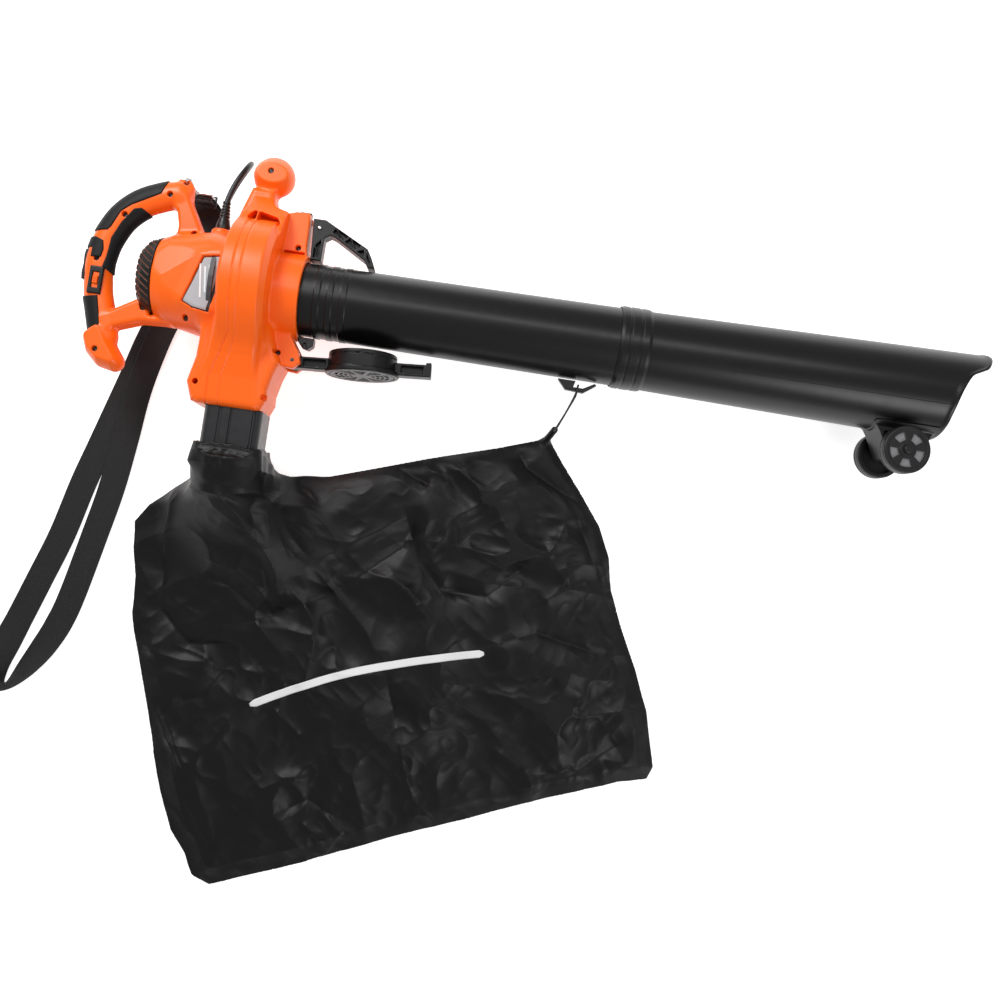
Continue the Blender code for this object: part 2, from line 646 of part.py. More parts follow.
def strap_rings():
    """Rings of the webbing loop: out along the upper run, round the far end, back along the lower run."""
    upper = 0.0052
    lower = 0.0016
    x, y = LUG_HOLE
    back = y + 0.0045
    stations = [
        (x, back - 0.0034, 0.0560, 0), (x, back - 0.0036, 0.030, 0), (x - 0.001, back - 0.009, 0.0115, 0),
        (-0.0969, 0.1153, upper, 0), (-0.104, 0.0832, upper, 0), (-0.116, 0.0333, upper, 0), (-0.1289, -0.0164, upper, 0),
        (-0.1447, -0.0708, upper, 0), (-0.1597, -0.1446, upper, 0), (-0.1672, -0.222, upper, 0),
        (-0.1755, -0.2912, 0.0046, 0), (-0.1891, -0.3618, 0.0030, 0), (-0.2075, -0.4521, lower, 0),
        (-0.220, -0.4949, lower, 0), (-0.2344, -0.5289, 0.0050, 12), (-0.2501, -0.5589, 0.0125, 35),
        (-0.2654, -0.5811, 0.0185, 62), (-0.2801, -0.5889, 0.0205, 82), (-0.2906, -0.5787, 0.0185, 62),
        (-0.2924, -0.5566, 0.0125, 35), (-0.285, -0.5262, 0.0050, 12), (-0.2753, -0.4941, lower, 0),
        (-0.2556, -0.4326, lower, 0), (-0.2348, -0.3659, lower, 0), (-0.2174, -0.2899, lower, 0),
        (-0.2011, -0.2309, lower, 0), (-0.1827, -0.1637, lower, 0), (-0.171, -0.1207, lower, 0),
        (-0.1582, -0.0706, lower, 0), (-0.1407, -0.0162, lower, 0), (-0.125, 0.0334, lower, 0),
        (-0.1092, 0.0833, lower, 0), (-0.0982, 0.1214, 0.0018, 0), (x - 0.001, back - 0.0005, 0.0072, 0),
        (x, back + 0.0034, 0.024, 0), (x, back + 0.0036, 0.0560, 0), (x, back, 0.0605, 0),
    ]
    rings = []
    count = len(stations)
    for i, (px, py, pz, roll) in enumerate(stations):
        before = Vector(stations[i - 1][:3])
        after = Vector(stations[(i + 1) % count][:3])
        along = (after - before).normalized()
        flat = Vector((-along.y, along.x, 0.0))
        if flat.length < 0.6 or i in (0, 1, count - 3, count - 2, count - 1):
            flat = Vector((1.0 if i < 5 else -1.0, 0.0, 0.0))
            if i == count - 1:
                flat = Vector((1.0, 0.0, 0.0))
        flat = flat.normalized()
        side = flat * math.cos(math.radians(roll)) + Vector((0, 0, 1)) * math.sin(math.radians(roll))
        side = (side - along * side.dot(along)).normalized()
        across = along.cross(side).normalized()
        middle = Vector((px, py, pz))
        rings.append([side, across, middle])
    # Keeps the ring's corners in step where the run turns over.
    for i in range(1, count):
        if rings[i][0].dot(rings[i - 1][0]) < 0:
            rings[i][0] = -rings[i][0]
            rings[i][1] = -rings[i][1]
    corners = [(-1, -1), (1, -1), (1, 1), (-1, 1)]
    return [
        [m + s * (a * WEB_WIDTH / 2) + c * (b * WEB_THICK / 2) for a, b in corners] for s, c, m in rings
    ]


def make_strap():
    # The webbing twists, so its faces are triangles, which stay flat.
    webbing = loft("strap_webbing", strap_rings(), closed=True)
    bm = bmesh.new()
    bm.from_mesh(webbing.data)
    bmesh.ops.triangulate(bm, faces=bm.faces)
    bm.to_mesh(webbing.data)
    bm.free()
    x, y = LUG_HOLE
    back = y + 0.0045
    count = 20
    oval = []
    for i in range(count):
        angle = 2 * math.pi * i / count
        oval.append((x, back + 0.0058 * math.cos(angle), MID - 0.009 + 0.019 * math.sin(angle)))
    ring = tube_curve("snap_ring", oval, 0.0017, 1, cyclic=True)
    graph = bpy.context.evaluated_depsgraph_get()
    hook = new_object("strap_snap_hook", bpy.data.meshes.new_from_object(ring.evaluated_get(graph)))
    bpy.data.objects.remove(ring)
    shank = plug("shank", [(0.0640, 0.0040), (0.0780, 0.0030)], (x, back, 0), axis="Z", sides=12)
    outer = box("outer", (x - 0.0235, back - 0.0018, 0.0500), (x + 0.0235, back + 0.0018, 0.0675))
    window = box("window", (x - 0.0205, back - 0.01, 0.0530), (x + 0.0205, back + 0.01, 0.0645))
    join(hook, shank, cut(outer, window))
    bar = box("bar", (x - 0.0235, back - 0.0075, 0.036), (x + 0.0235, back + 0.0075, 0.0395))
    bar.name = "strap_slide"
    cut(bar, box("window", (x - 0.0205, back - 0.0055, 0.03), (x + 0.0205, back + 0.0055, 0.05)))


def make_bag():
    bag = prism("collection_bag", BAG_OUTLINE, FLOOR_GAP, BAG_TOP)
    sections = [
        (-0.2125, -0.0378, 0.0555, MID - 0.044, MID + 0.044, 0.014),
        (-0.2420, -0.0647, 0.0680, MID - 0.058, MID + 0.041, 0.018),
        (-0.2900, -0.1030, 0.1088, 0.006, 0.112, 0.018),
        (-0.3450, -0.1281, 0.1636, FLOOR_GAP, 0.056, 0.012),
        (-0.4000, -0.1184, 0.1982, FLOOR_GAP, 0.027, 0.008),
    ]
    rings = []
    for y, left, right, low, high, radius in sections:
        rings.append([(x, y, z) for x, z in rounded_box_outline((left, low), (right, high), radius)])
    join(bag, loft("neck", rings))
    pocket = prism(
        "pocket", rounded_box_outline((-0.0295, MID - 0.0365), (0.0485, MID + 0.0365), 0.014), -0.2365, -0.20, "Y"
    )
    cut(bag, pocket)


def make_string():
    route = [
        (0.463, -0.0613, MID), (0.4619, -0.0631, MID + 0.008), (0.460, -0.0757, MID + 0.0075),
        (0.4541, -0.0958, 0.082), (0.4477, -0.1117, 0.056), (0.4452, -0.1184, 0.038), (0.445, -0.1188, 0.032),
        (0.4467, -0.1181, 0.027), (0.4504, -0.1082, 0.044), (0.4563, -0.0914, 0.074),
        (0.462, -0.0753, MID - 0.0075), (0.464, -0.0627, MID - 0.008),
    ]
    tube_curve("bag_string", route, 0.0013, 1, cyclic=True)


# ---------------------------------------------------------------- colours


COLOURS = {
    "orange": ((1.0, 0.13, 0.006), 0.38, 0.0),
    "black": ((0.012, 0.012, 0.013), 0.45, 0.0),
    "grip": ((0.010, 0.010, 0.011), 0.75, 0.0),
    "duct": ((0.030, 0.030, 0.032), 0.50, 0.0),
    "cloth": ((0.008, 0.008, 0.009), 0.80, 0.0),
    "cord": ((0.010, 0.010, 0.011), 0.55, 0.0),
    "steel": ((0.55, 0.55, 0.56), 0.30, 1.0),
    "copper": ((0.70, 0.30, 0.14), 0.35, 1.0),
    "silver": ((0.42, 0.43, 0.45), 0.35, 0.4),
    "grey": ((0.10, 0.10, 0.105), 0.50, 0.0),
}

PAINT = {
    "housing_right_shell": "orange", "housing_left_shell": "orange", "speed_slider": "orange",
    "grip_pad_upper": "grip", "grip_pad_inner": "grip", "grip_pad_lower": "grip",
    "outlet_duct": "duct", "collection_bag": "cloth", "bag_string": "cloth", "strap_webbing": "cloth",
    "power_cord": "cord", "mains_plug": "cord", "cable_boot": "cord", "name_plate": "silver",
    "motor_shaft": "steel", "armature": "steel", "stator_core": "steel", "rear_bearing": "steel",
    "front_bearing": "steel", "impeller_nut": "steel", "wheel_axle": "steel", "latch_pin": "steel",
    "cover_hinge_pin": "steel", "strap_snap_hook": "steel", "strap_slide": "steel",
    "commutator": "copper", "field_coil_upper": "copper", "field_coil_lower": "copper",
    "impeller": "grey", "right_wheel": "grey", "left_wheel": "grey",
}


def paint():
    """One material per sub-part, in its group's colour."""
    for thing in list(bpy.data.objects):
        slot = PAINT.get(thing.name, "steel" if thing.name.startswith("housing_screw") else "black")
        colour, rough, metal = COLOURS[slot]
        material = bpy.data.materials.new(thing.name)
        material.use_nodes = True
        shader = material.node_tree.nodes["Principled BSDF"]
        shader.inputs["Base Color"].default_value = (*colour, 1.0)
        shader.inputs["Roughness"].default_value = rough
        shader.inputs["Metallic"].default_value = metal
        material.diffuse_color = (*colour, 1.0)
        thing.data.materials.clear()
        thing.data.materials.append(material)
        if thing.type == "MESH":
            shade(thing)


def build():
    for thing in list(bpy.data.objects):
        bpy.data.objects.remove(thing)
    make_housing()
    make_vent_cap()
    make_name_plate()
    make_grips()
    make_switches()
    for piece in make_motor():
        on_axis(piece, (0, 0, MID))
    make_outlet_duct()
    make_tubes()
    make_wheels()
    make_tube_fittings()
    make_intake_cover()
    make_cord()
    make_strap()
    make_bag()
    make_string()
    paint()


build()
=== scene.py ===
import math

import bmesh
import bpy
import numpy as np
from mathutils import Matrix, Vector


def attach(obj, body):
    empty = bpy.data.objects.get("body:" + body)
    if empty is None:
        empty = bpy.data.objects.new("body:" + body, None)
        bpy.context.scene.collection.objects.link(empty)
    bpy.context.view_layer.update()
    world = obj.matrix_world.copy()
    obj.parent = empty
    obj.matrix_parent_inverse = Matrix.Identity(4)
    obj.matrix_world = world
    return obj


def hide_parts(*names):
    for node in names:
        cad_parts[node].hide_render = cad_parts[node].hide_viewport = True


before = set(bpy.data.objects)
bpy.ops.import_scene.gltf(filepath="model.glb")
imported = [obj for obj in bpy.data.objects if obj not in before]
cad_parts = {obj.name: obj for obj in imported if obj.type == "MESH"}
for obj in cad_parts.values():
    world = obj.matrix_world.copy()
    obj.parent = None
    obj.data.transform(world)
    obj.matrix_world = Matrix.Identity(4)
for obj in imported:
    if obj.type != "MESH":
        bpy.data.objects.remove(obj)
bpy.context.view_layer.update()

MID = 0.105          # height of the plane where the two housing halves meet, in metres
MM = 0.001
MID_MM = MID / MM
FLOOR_HALF = 14.0    # half the side of the studio floor, in metres


# ---------------------------------------------------------------- camera, light, floor


def placed(name, data):
    """New object with this data, in the scene."""
    thing = bpy.data.objects.new(name, data)
    bpy.context.scene.collection.objects.link(thing)
    return thing


def make_camera():
    place = Vector((0.3197, -0.3079, 1.4500))
    ahead = Vector((0.04328, 0.05526, -0.99753)).normalized()
    up = Vector((-0.14195, 0.98868, 0.04861))
    right = ahead.cross(up).normalized()
    up = right.cross(ahead).normalized()
    data = bpy.data.cameras.new("camera")
    data.lens = 35.46
    data.sensor_width = 36.0
    data.clip_start = 0.01
    camera = placed("camera", data)
    camera.matrix_world = Matrix.Translation(place) @ Matrix((right, up, -ahead)).transposed().to_4x4()
    bpy.context.scene.camera = camera


def area_light(name, place, target, size, power):
    data = bpy.data.lights.new(name, "AREA")
    data.shape = "RECTANGLE"
    data.size, data.size_y = size
    data.energy = power
    light = placed(name, data)
    light.location = place
    light.rotation_euler = (Vector(target) - Vector(place)).to_track_quat("-Z", "Y").to_euler()


def make_studio():
    world = bpy.data.worlds.new("studio")
    bpy.context.scene.world = world
    world.use_nodes = True
    wire(world.node_tree, world.node_tree.nodes["Background"], {"Color": (1.0, 1.0, 1.0, 1.0), "Strength": 0.42})
    bpy.context.scene.view_settings.view_transform = "Standard"
    area_light("key", (-0.7, 0.9, 1.3), (0.1, -0.2, 0.1), (0.6, 0.6), 20.0)
    area_light("fill", (1.6, -1.3, 1.4), (0.3, -0.3, 0.1), (0.8, 0.8), 12.0)
    area_light("strip", (0.5, 0.45, 1.5), (0.5, 0.0, 0.1), (1.6, 0.15), 5.0)
    mesh = bpy.data.meshes.new("floor")
    corners = [(x * FLOOR_HALF, y * FLOOR_HALF, 0.0) for x, y in ((-1, -1), (1, -1), (1, 1), (-1, 1))]
    mesh.from_pydata(corners, [], [(0, 1, 2, 3)])
    pale = plain("floor_white", (0.86, 0.86, 0.86), 0.9)
    glow = {"Emission Color": (1.0, 1.0, 1.0, 1.0), "Emission Strength": 0.72}
    wire(pale.node_tree, pale.node_tree.nodes["Principled BSDF"], glow)
    mesh.materials.append(pale)
    placed("floor", mesh)


# ---------------------------------------------------------------- materials


def wire(tree, node, inputs):
    """Fills a node's sockets: an output of another node is linked, anything else is the socket's value."""
    for name, value in inputs.items():
        if isinstance(value, bpy.types.NodeSocket):
            tree.links.new(value, node.inputs[name])
        else:
            node.inputs[name].default_value = value


def add_node(tree, kind, inputs, out=0, **settings):
    """New shader node with its settings and inputs. Gives one of its outputs."""
    node = tree.nodes.new("ShaderNode" + kind)
    for name, value in settings.items():
        setattr(node, name, value)
    wire(tree, node, inputs)
    return node.outputs[out]


def two_shades(tree, share, colour, vary):
    """A colour that drifts a little darker and lighter."""
    low = tuple(max(c * (1 - vary), 0.0) for c in colour)
    high = tuple(min(c * (1 + vary), 1.0) for c in colour)
    return add_node(tree, "Mix", {6: (*low, 1.0), 7: (*high, 1.0), 0: share}, 2, data_type="RGBA")


def plain(name, colour, rough, metal=0.0):
    material = bpy.data.materials.new(name)
    material.use_nodes = True
    shader = material.node_tree.nodes["Principled BSDF"]
    wire(material.node_tree, shader, {"Base Color": (*colour, 1.0), "Roughness": rough, "Metallic": metal})
    return material


def detailed(
    name, colour, rough, metal=0.0, vary=0.06, rough_vary=0.08, speck=900.0, bump=0.12, coat=0.0, coat_rough=0.2,
    specular=0.5, scratch=0.0,
):
    """A moulded or metal surface: soft colour blotches, uneven gloss, fine texture and hair scratches."""
    material = plain(name, colour, rough, metal)
    tree = material.node_tree
    place = add_node(tree, "TexCoord", {}, "Object")
    large = add_node(tree, "TexNoise", {"Scale": 14.0, "Detail": 4.0, "Vector": place}, "Fac")
    uneven = add_node(tree, "TexNoise", {"Scale": 84.0, "Detail": 6.0, "Vector": place}, "Fac")
    ends = {"To Min": max(rough - rough_vary, 0.02), "To Max": min(rough + rough_vary, 1.0)}
    gloss = add_node(tree, "MapRange", {**ends, "Value": uneven}, "Result")
    height = add_node(tree, "TexNoise", {"Scale": speck, "Detail": 3.0, "Vector": place}, "Fac")
    if scratch:
        stretched = add_node(tree, "Mapping", {"Scale": (30.0, 900.0, 900.0), "Vector": place})
        hair = add_node(tree, "TexNoise", {"Scale": 1.0, "Vector": stretched}, "Fac")
        height = add_node(tree, "Math", {0: hair, 1: scratch, 2: height}, operation="MULTIPLY_ADD")
    wire(tree, tree.nodes["Principled BSDF"], {
        "Coat Weight": coat, "Coat Roughness": coat_rough, "Specular IOR Level": specular, "Roughness": gloss,
        "Base Color": two_shades(tree, large, colour, vary),
        "Normal": add_node(tree, "Bump", {"Strength": bump, "Distance": 0.0002, "Height": height}),
    })
    return material


def woven(
    name, colour, rough, pitch, sheen=0.25, bump=0.5, depth=0.0004, vary=0.35, crumple=0.0, turn=0.0, specular=0.4,
):
    """Plain weave of two crossing sets of threads, with slubs and small creases. The colour is painted darker in the
    gaps between threads as painted shade, and drifts at random with the slubs.
    """
    material = plain(name, colour, rough)
    tree = material.node_tree
    place = add_node(tree, "TexCoord", {}, "Object")
    spun = add_node(tree, "Mapping", {"Rotation": (0.0, 0.0, turn), "Vector": place})
    wave = {"Scale": 0.31416 / pitch, "Distortion": 0.6, "Detail": 1.0, "Detail Scale": 2.0, "Vector": spun}
    threads = [add_node(tree, "TexWave", wave, "Fac", wave_type="BANDS", bands_direction=axis) for axis in "XY"]
    weave = add_node(tree, "Math", dict(enumerate(threads)), operation="MULTIPLY")
    slub = add_node(tree, "TexNoise", {"Scale": 60.0, "Detail": 5.0, "Vector": place}, "Fac")
    # Colour mix: painted shade in the gaps between the threads of the weave, plus random tone from the slubs.
    weave_shade_and_slub = add_node(tree, "Math", {0: weave, 1: 0.6, 2: slub}, operation="MULTIPLY_ADD")
    ends = {"To Min": rough - 0.08, "To Max": min(rough + 0.12, 1.0)}
    gloss = add_node(tree, "MapRange", {**ends, "Value": slub}, "Result")
    normal = add_node(tree, "Bump", {"Strength": bump, "Distance": depth, "Height": weave})
    if crumple:
        rough_cloth = {"Scale": 12.0, "Detail": 4.0, "Roughness": 0.5, "Distortion": 0.7, "Vector": place}
        crease = add_node(tree, "TexNoise", rough_cloth, "Fac")
        normal = add_node(tree, "Bump", {"Strength": crumple, "Distance": 0.006, "Height": crease, "Normal": normal})
    wire(tree, tree.nodes["Principled BSDF"], {
        "Sheen Weight": sheen, "Sheen Roughness": 0.45, "Specular IOR Level": specular, "Roughness": gloss,
        "Base Color": two_shades(tree, weave_shade_and_slub, colour, vary), "Normal": normal,
    })
    return material


LOOK = {
    "orange": detailed(
        "moulded_orange", (1.0, 0.130, 0.0030), 0.36, vary=0.03, rough_vary=0.05, speck=1500.0, bump=0.05, coat=0.08,
        coat_rough=0.25, specular=0.35,
    ),
    "black": detailed(
        "moulded_black", (0.0045, 0.0045, 0.005), 0.36, vary=0.25, speck=1200.0, bump=0.08, specular=0.35,
    ),
    "tube": detailed(
        "tube_black", (0.0030, 0.0030, 0.0036), 0.33, vary=0.2, rough_vary=0.05, speck=1400.0, bump=0.05, scratch=0.25,
        specular=0.38,
    ),
    "grip": detailed("grip_rubber", (0.0055, 0.0055, 0.006), 0.55, vary=0.2, speck=2200.0, bump=0.2, specular=0.25),
    "duct": detailed("duct_grey", (0.012, 0.012, 0.014), 0.34, vary=0.2, speck=1200.0, bump=0.06),
    "wheel": detailed("wheel_black", (0.009, 0.009, 0.010), 0.42, vary=0.25, speck=1500.0, bump=0.10, specular=0.4),
    "pocket": detailed("pocket_grey", (0.20, 0.20, 0.21), 0.45, vary=0.15, speck=1500.0, bump=0.10),
    "slots": detailed("vent_shadow", (0.16, 0.045, 0.016), 0.55, vary=0.3, speck=1500.0, bump=0.10),
    "cord": detailed("cord_jacket", (0.005, 0.005, 0.0055), 0.36, vary=0.2, speck=700.0, bump=0.10, specular=0.4),
    "steel": detailed(
        "plated_steel", (0.52, 0.52, 0.53), 0.28, metal=1.0, vary=0.12, speck=1800.0, bump=0.08, scratch=0.6,
    ),
    "screw": detailed("screw_dark", (0.10, 0.09, 0.09), 0.40, metal=0.8, vary=0.2, speck=1800.0, bump=0.1),
    "copper": detailed("enamelled_copper", (0.55, 0.20, 0.08), 0.35, metal=1.0, vary=0.2, speck=1500.0, bump=0.3),
    "board": detailed("board_green", (0.02, 0.10, 0.04), 0.45, vary=0.2, speck=900.0, bump=0.1),
    "fan": detailed("fan_grey", (0.055, 0.055, 0.06), 0.5, vary=0.2, speck=1200.0, bump=0.15),
    "silver": detailed("label_silver", (0.42, 0.43, 0.45), 0.38, metal=0.15, vary=0.10, speck=1500.0, bump=0.04),
    "label_dark": detailed("label_dark", (0.018, 0.018, 0.02), 0.4, vary=0.15, speck=1500.0, bump=0.05),
    "label_white": detailed("label_white", (0.85, 0.85, 0.85), 0.4, vary=0.04, speck=1500.0, bump=0.04),
    "bag": woven(
        "bag_cloth", (0.0032, 0.0032, 0.0036), 0.38, 0.0011, sheen=0.03, bump=0.20, crumple=0.20, turn=0.26,
        specular=0.26,
    ),
    "webbing": woven(
        "strap_webbing", (0.0045, 0.0045, 0.005), 0.55, 0.0016, sheen=0.08, bump=0.7, depth=0.0006, turn=0.2,
    ),
    "thread": woven("string_thread", (0.012, 0.012, 0.013), 0.6, 0.0009, sheen=0.1, bump=0.6),
    "print": woven("bag_print", (0.80, 0.80, 0.80), 0.6, 0.0011, sheen=0.0, bump=0.25, vary=0.05, turn=0.26),
}


# ---------------------------------------------------------------- distance fields, in millimetres


def smooth_min(a, b, k):
    h = np.maximum(k - np.abs(a - b), 0.0) / k
    return np.minimum(a, b) - h * h * k * 0.25


def smooth_max(a, b, k):
    return -smooth_min(-a, -b, k)


def largest(first, *rest):
    for part in rest:
        first = np.maximum(first, part)
    return first


def flat_distance(u, v, outline):
    """Signed distance to a closed outline, negative inside."""
    best = np.full(u.shape, 1e9)
    inside = np.zeros(u.shape, bool)
    for i, (bx, by) in enumerate(outline[1:] + outline[:1]):
        ax, ay = outline[i]
        dx, dy = bx - ax, by - ay
        share = np.clip(((u - ax) * dx + (v - ay) * dy) / (dx * dx + dy * dy), 0, 1)
        best = np.minimum(best, (u - ax - share * dx) ** 2 + (v - ay - share * dy) ** 2)
        if ay != by:
            crosses = (v >= min(ay, by)) & (v < max(ay, by))
            inside ^= crosses & (u < ax + (v - ay) * dx / dy)
    return np.where(inside, -1.0, 1.0) * np.sqrt(best)


def side_distance(p, outline):
    """Distance to an outline drawn on the plane between the housing halves."""
    return flat_distance(p[:, 0], p[:, 1], outline)


def turned_distance(p, outline, squash=1.0):
    """Distance to an outline of (place along X, radius) turned about X, and squashed sideways."""
    return flat_distance(p[:, 0], np.hypot(p[:, 1], p[:, 2] / squash), outline)


def rounded(a, b, r):
    """Two distances at right angles combined with a rounded corner."""
    a, b = a + r, b + r
    return np.minimum(np.maximum(a, b), 0.0) + np.hypot(np.maximum(a, 0), np.maximum(b, 0)) - r


def prism(outline, low, high, r):
    """Plate between two heights with all its edges rounded."""
    middle, half = (low + high) / 2, (high - low) / 2
    return lambda p: rounded(side_distance(p, outline), np.abs(p[:, 2] - middle) - half, r)


def block(low, high, r):
    """Box with rounded edges."""
    low, high = np.array(low, float), np.array(high, float)

    def make(p):
        q = np.abs(p - (low + high) / 2) - (high - low) / 2 + r
        return np.linalg.norm(np.maximum(q, 0), axis=1) + np.minimum(q.max(axis=1), 0) - r

    return make


def path_distance(u, v, line):
    """Distance to an open line, and the share of its length at the nearest point."""
    best = np.full(u.shape, 1e9)
    where = np.zeros(u.shape)
    lengths = [math.dist(a, b) for a, b in zip(line, line[1:])]
    total, run = sum(lengths), 0.0
    for (a, b), length in zip(zip(line, line[1:]), lengths):
        dx, dy = b[0] - a[0], b[1] - a[1]
        share = np.clip(((u - a[0]) * dx + (v - a[1]) * dy) / (length * length), 0, 1)
        gap = (u - a[0] - share * dx) ** 2 + (v - a[1] - share * dy) ** 2
        nearer = gap < best
        best = np.where(nearer, gap, best)
        where = np.where(nearer, (run + share * length) / total, where)
        run += length
    return np.sqrt(best), where


def spline(a, b, c, d, t):
    """Catmull-Rom point between b and c."""
    return 0.5 * (2 * b + (c - a) * t + (2 * a - 5 * b + 4 * c - d) * t * t + (3 * b - a - 3 * c + d) * t ** 3)


def smooth_line(points, count):
    """Catmull-Rom line through points, evenly sampled by span."""
    points = [Vector(p) for p in points]
    ends = [points[0] * 2 - points[1], *points, points[-1] * 2 - points[-2]]
    spans = len(points) - 1
    line = []
    for i in range(count):
        at = spans * i / (count - 1)
        k = min(int(at), spans - 1)
        line.append(spline(*ends[k:k + 4], at - k))
    return line


def even_line(route, count):
    """Points at equal steps along a smooth line."""
    dense = smooth_line(route, len(route) * 24)
    run = np.concatenate([[0], np.cumsum([(b - a).length for a, b in zip(dense, dense[1:])])])
    spots = np.array([tuple(p) for p in dense])
    return [tuple(float(np.interp(w, run, spots[:, a])) for a in range(3)) for w in np.linspace(0, run[-1], count)]


class Field:
    """Distance field made of parts, each worked out only near itself."""

    def __init__(self):
        self.parts = []

    def add(self, make, low, high, k=0.0, mode="add"):
        margin = 12.0 + k
        self.parts.append((make, np.array(low, float) - margin, np.array(high, float) + margin, k, mode))

    def cut(self, make, low, high, k=0.0):
        self.add(make, low, high, k, "cut")

    def __call__(self, p):
        value = np.full(len(p), 30.0)
        for make, low, high, k, mode in self.parts:
            near = np.nonzero(np.all((p > low) & (p < high), axis=1))[0]
            if not len(near):
                continue
            part, old = make(p[near]), value[near]
            if mode == "add":
                value[near] = smooth_min(old, part, k) if k else np.minimum(old, part)
            elif mode == "cut":
                value[near] = smooth_max(old, -part, k) if k else np.maximum(old, -part)
            else:
                value[near] = mode(old, part, p[near])
        return value


# ---------------------------------------------------------------- meshes from distance fields


COARSE = 4           # cells of the fine grid to one of the coarse grid that finds the surface
CORNERS = np.array([(i, j, k) for i in (0, 1) for j in (0, 1) for k in (0, 1)])
EDGES = [(a, b) for a in range(8) for b in range(a + 1, 8) if abs(CORNERS[a] - CORNERS[b]).sum() == 1]
TETRA = np.array([(1, -1, -1), (-1, -1, 1), (-1, 1, -1), (1, 1, 1)], float)


def slopes(field, p, reach=0.15):
    """Unit normals of a field at points, and how steep it is there."""
    total = np.zeros_like(p)
    for way in TETRA:
        total += way * field(p + way * reach)[:, None]
    size = np.linalg.norm(total, axis=1, keepdims=True)
    return total / np.maximum(size, 1e-9), size[:, 0] / (4 * reach)


def spread(grid):
    """Each cell of the coarse grid repeated on the fine grid."""
    for axis in range(3):
        grid = np.repeat(grid, COARSE, axis)
    return grid


def moved(grid, size, corner):
    """The part of a grid that lies at one corner of its cells."""
    i, j, k = corner
    return grid[i:size[0] + i, j:size[1] + j, k:size[2] + k]


def grid_values(field, low, high, step, floor):
    """The field on a fine grid near the surface, and its sign alone elsewhere."""
    few = (np.ceil((high - low) / step).astype(int) + 1) // COARSE + 2
    grid = np.stack(np.meshgrid(*[np.arange(n) for n in few], indexing="ij"), -1).reshape(-1, 3)
    rough = field(low + grid * step * COARSE).reshape(few)
    close = np.abs(rough) < step * COARSE * 1.9
    if floor is not None:
        close[:, :, 0] |= rough[:, :, 0] < step * COARSE * 1.9
    cells = np.zeros(few - 1, bool)
    for corner in CORNERS:
        cells |= moved(close, few - 1, corner)
    active = spread(cells)
    grown = np.zeros(np.array(active.shape) + 1, bool)
    for corner in CORNERS:
        part = moved(grown, active.shape, corner)
        part |= active
    filled = np.full(grown.shape, 9.0)
    cropped = moved(spread(np.where(rough < 0, -9.0, 9.0)), grown.shape, (0, 0, 0))
    filled[tuple(slice(n) for n in cropped.shape)] = cropped
    nodes = np.argwhere(grown)
    places = low + nodes * step
    found = field(places)
    if floor is not None:
        found = np.maximum(found, floor - places[:, 2])
    filled[grown] = np.where(found == 0, 1e-6, found)
    if floor is not None:
        filled[:, :, 0] = 9.0
        first = nodes[nodes[:, 2] == 0]
        filled[first[:, 0], first[:, 1], 0] = step / 2
    return filled


def pull(field, points, start, rows, axes, reach):
    """Moves points onto the surface along the first axes, at most reach from where they started."""
    way, steep = slopes(field, points[rows])
    way = way[:, :axes]
    if axes == 2:
        way = way / np.maximum(np.linalg.norm(way, axis=1, keepdims=True), 0.3)
    move = way * (field(points[rows]) / np.maximum(steep, 0.4))[:, None]
    old = start[rows, :axes]
    points[rows, :axes] = np.clip(points[rows, :axes] - move, old - reach, old + reach)


def face_rows(inside, index, size):
    """Four cells round every grid edge that the surface crosses, in turning order."""
    rows = []
    for axis in range(3):
        one, two = [a for a in range(3) if a != axis]
        ahead, behind = [slice(None)] * 3, [slice(None)] * 3
        ahead[axis], behind[axis] = slice(1, None), slice(None, -1)
        spots = np.argwhere(inside[tuple(ahead)] != inside[tuple(behind)])
        keep = (spots[:, one] > 0) & (spots[:, two] > 0) & (spots[:, one] < size[one]) & (spots[:, two] < size[two])
        spots = spots[keep]
        ring = []
        for da, db in ((-1, -1), (0, -1), (0, 0), (-1, 0)):
            cell = spots.copy()
            cell[:, one] += da
            cell[:, two] += db
            ring.append(index[tuple(cell.T)])
        ring = np.stack(ring, 1)
        back = inside[tuple(spots.T)] == (axis == 1)
        ring[back] = ring[back][:, ::-1]
        rows.append(ring)
    rows = np.concatenate(rows)
    return rows[(rows >= 0).all(axis=1)]


def surface_of(field, low, high, step, floor=None):
    """Closed quad mesh of a field's zero level. floor is a height where the shape is cut off flat."""
    low, high = np.array(low, float), np.array(high, float)
    if floor is not None:
        low[2] = floor - step / 2
    filled = grid_values(field, low, high, step, floor)
    inside = filled < 0
    size = np.array(filled.shape) - 1
    mixed = np.zeros(size, np.int8)
    for corner in CORNERS:
        mixed += moved(inside, size, corner)
    cells = np.argwhere((mixed > 0) & (mixed < 8))
    values = [filled[tuple((cells + c).T)] for c in CORNERS]
    total = np.zeros((len(cells), 3))
    hits = np.zeros(len(cells))
    for a, b in EDGES:
        crossed = (values[a] < 0) != (values[b] < 0)
        share = np.where(crossed, values[a] / np.where(crossed, values[a] - values[b], 1.0), 0.0)
        spot = CORNERS[a] + (CORNERS[b] - CORNERS[a]) * share[:, None]
        total += np.where(crossed[:, None], spot, 0.0)
        hits += crossed
    points = low + (cells + total / hits[:, None]) * step
    start = points.copy()
    bottom = (cells[:, 2] == 0) & (floor is not None)
    rim = bottom.copy()
    if bottom.any():
        points[bottom, 2] = floor
        rim[bottom] = np.abs(field(points[bottom])) < step * 0.9
    for _ in range(3):
        pull(field, points, start, ~bottom, 3, 0.6 * step)
        if rim.any():
            pull(field, points, start, rim, 2, 0.75 * step)
    index = np.full(size, -1, np.int64)
    index[tuple(cells.T)] = np.arange(len(cells))
    return points, face_rows(inside, index, size)


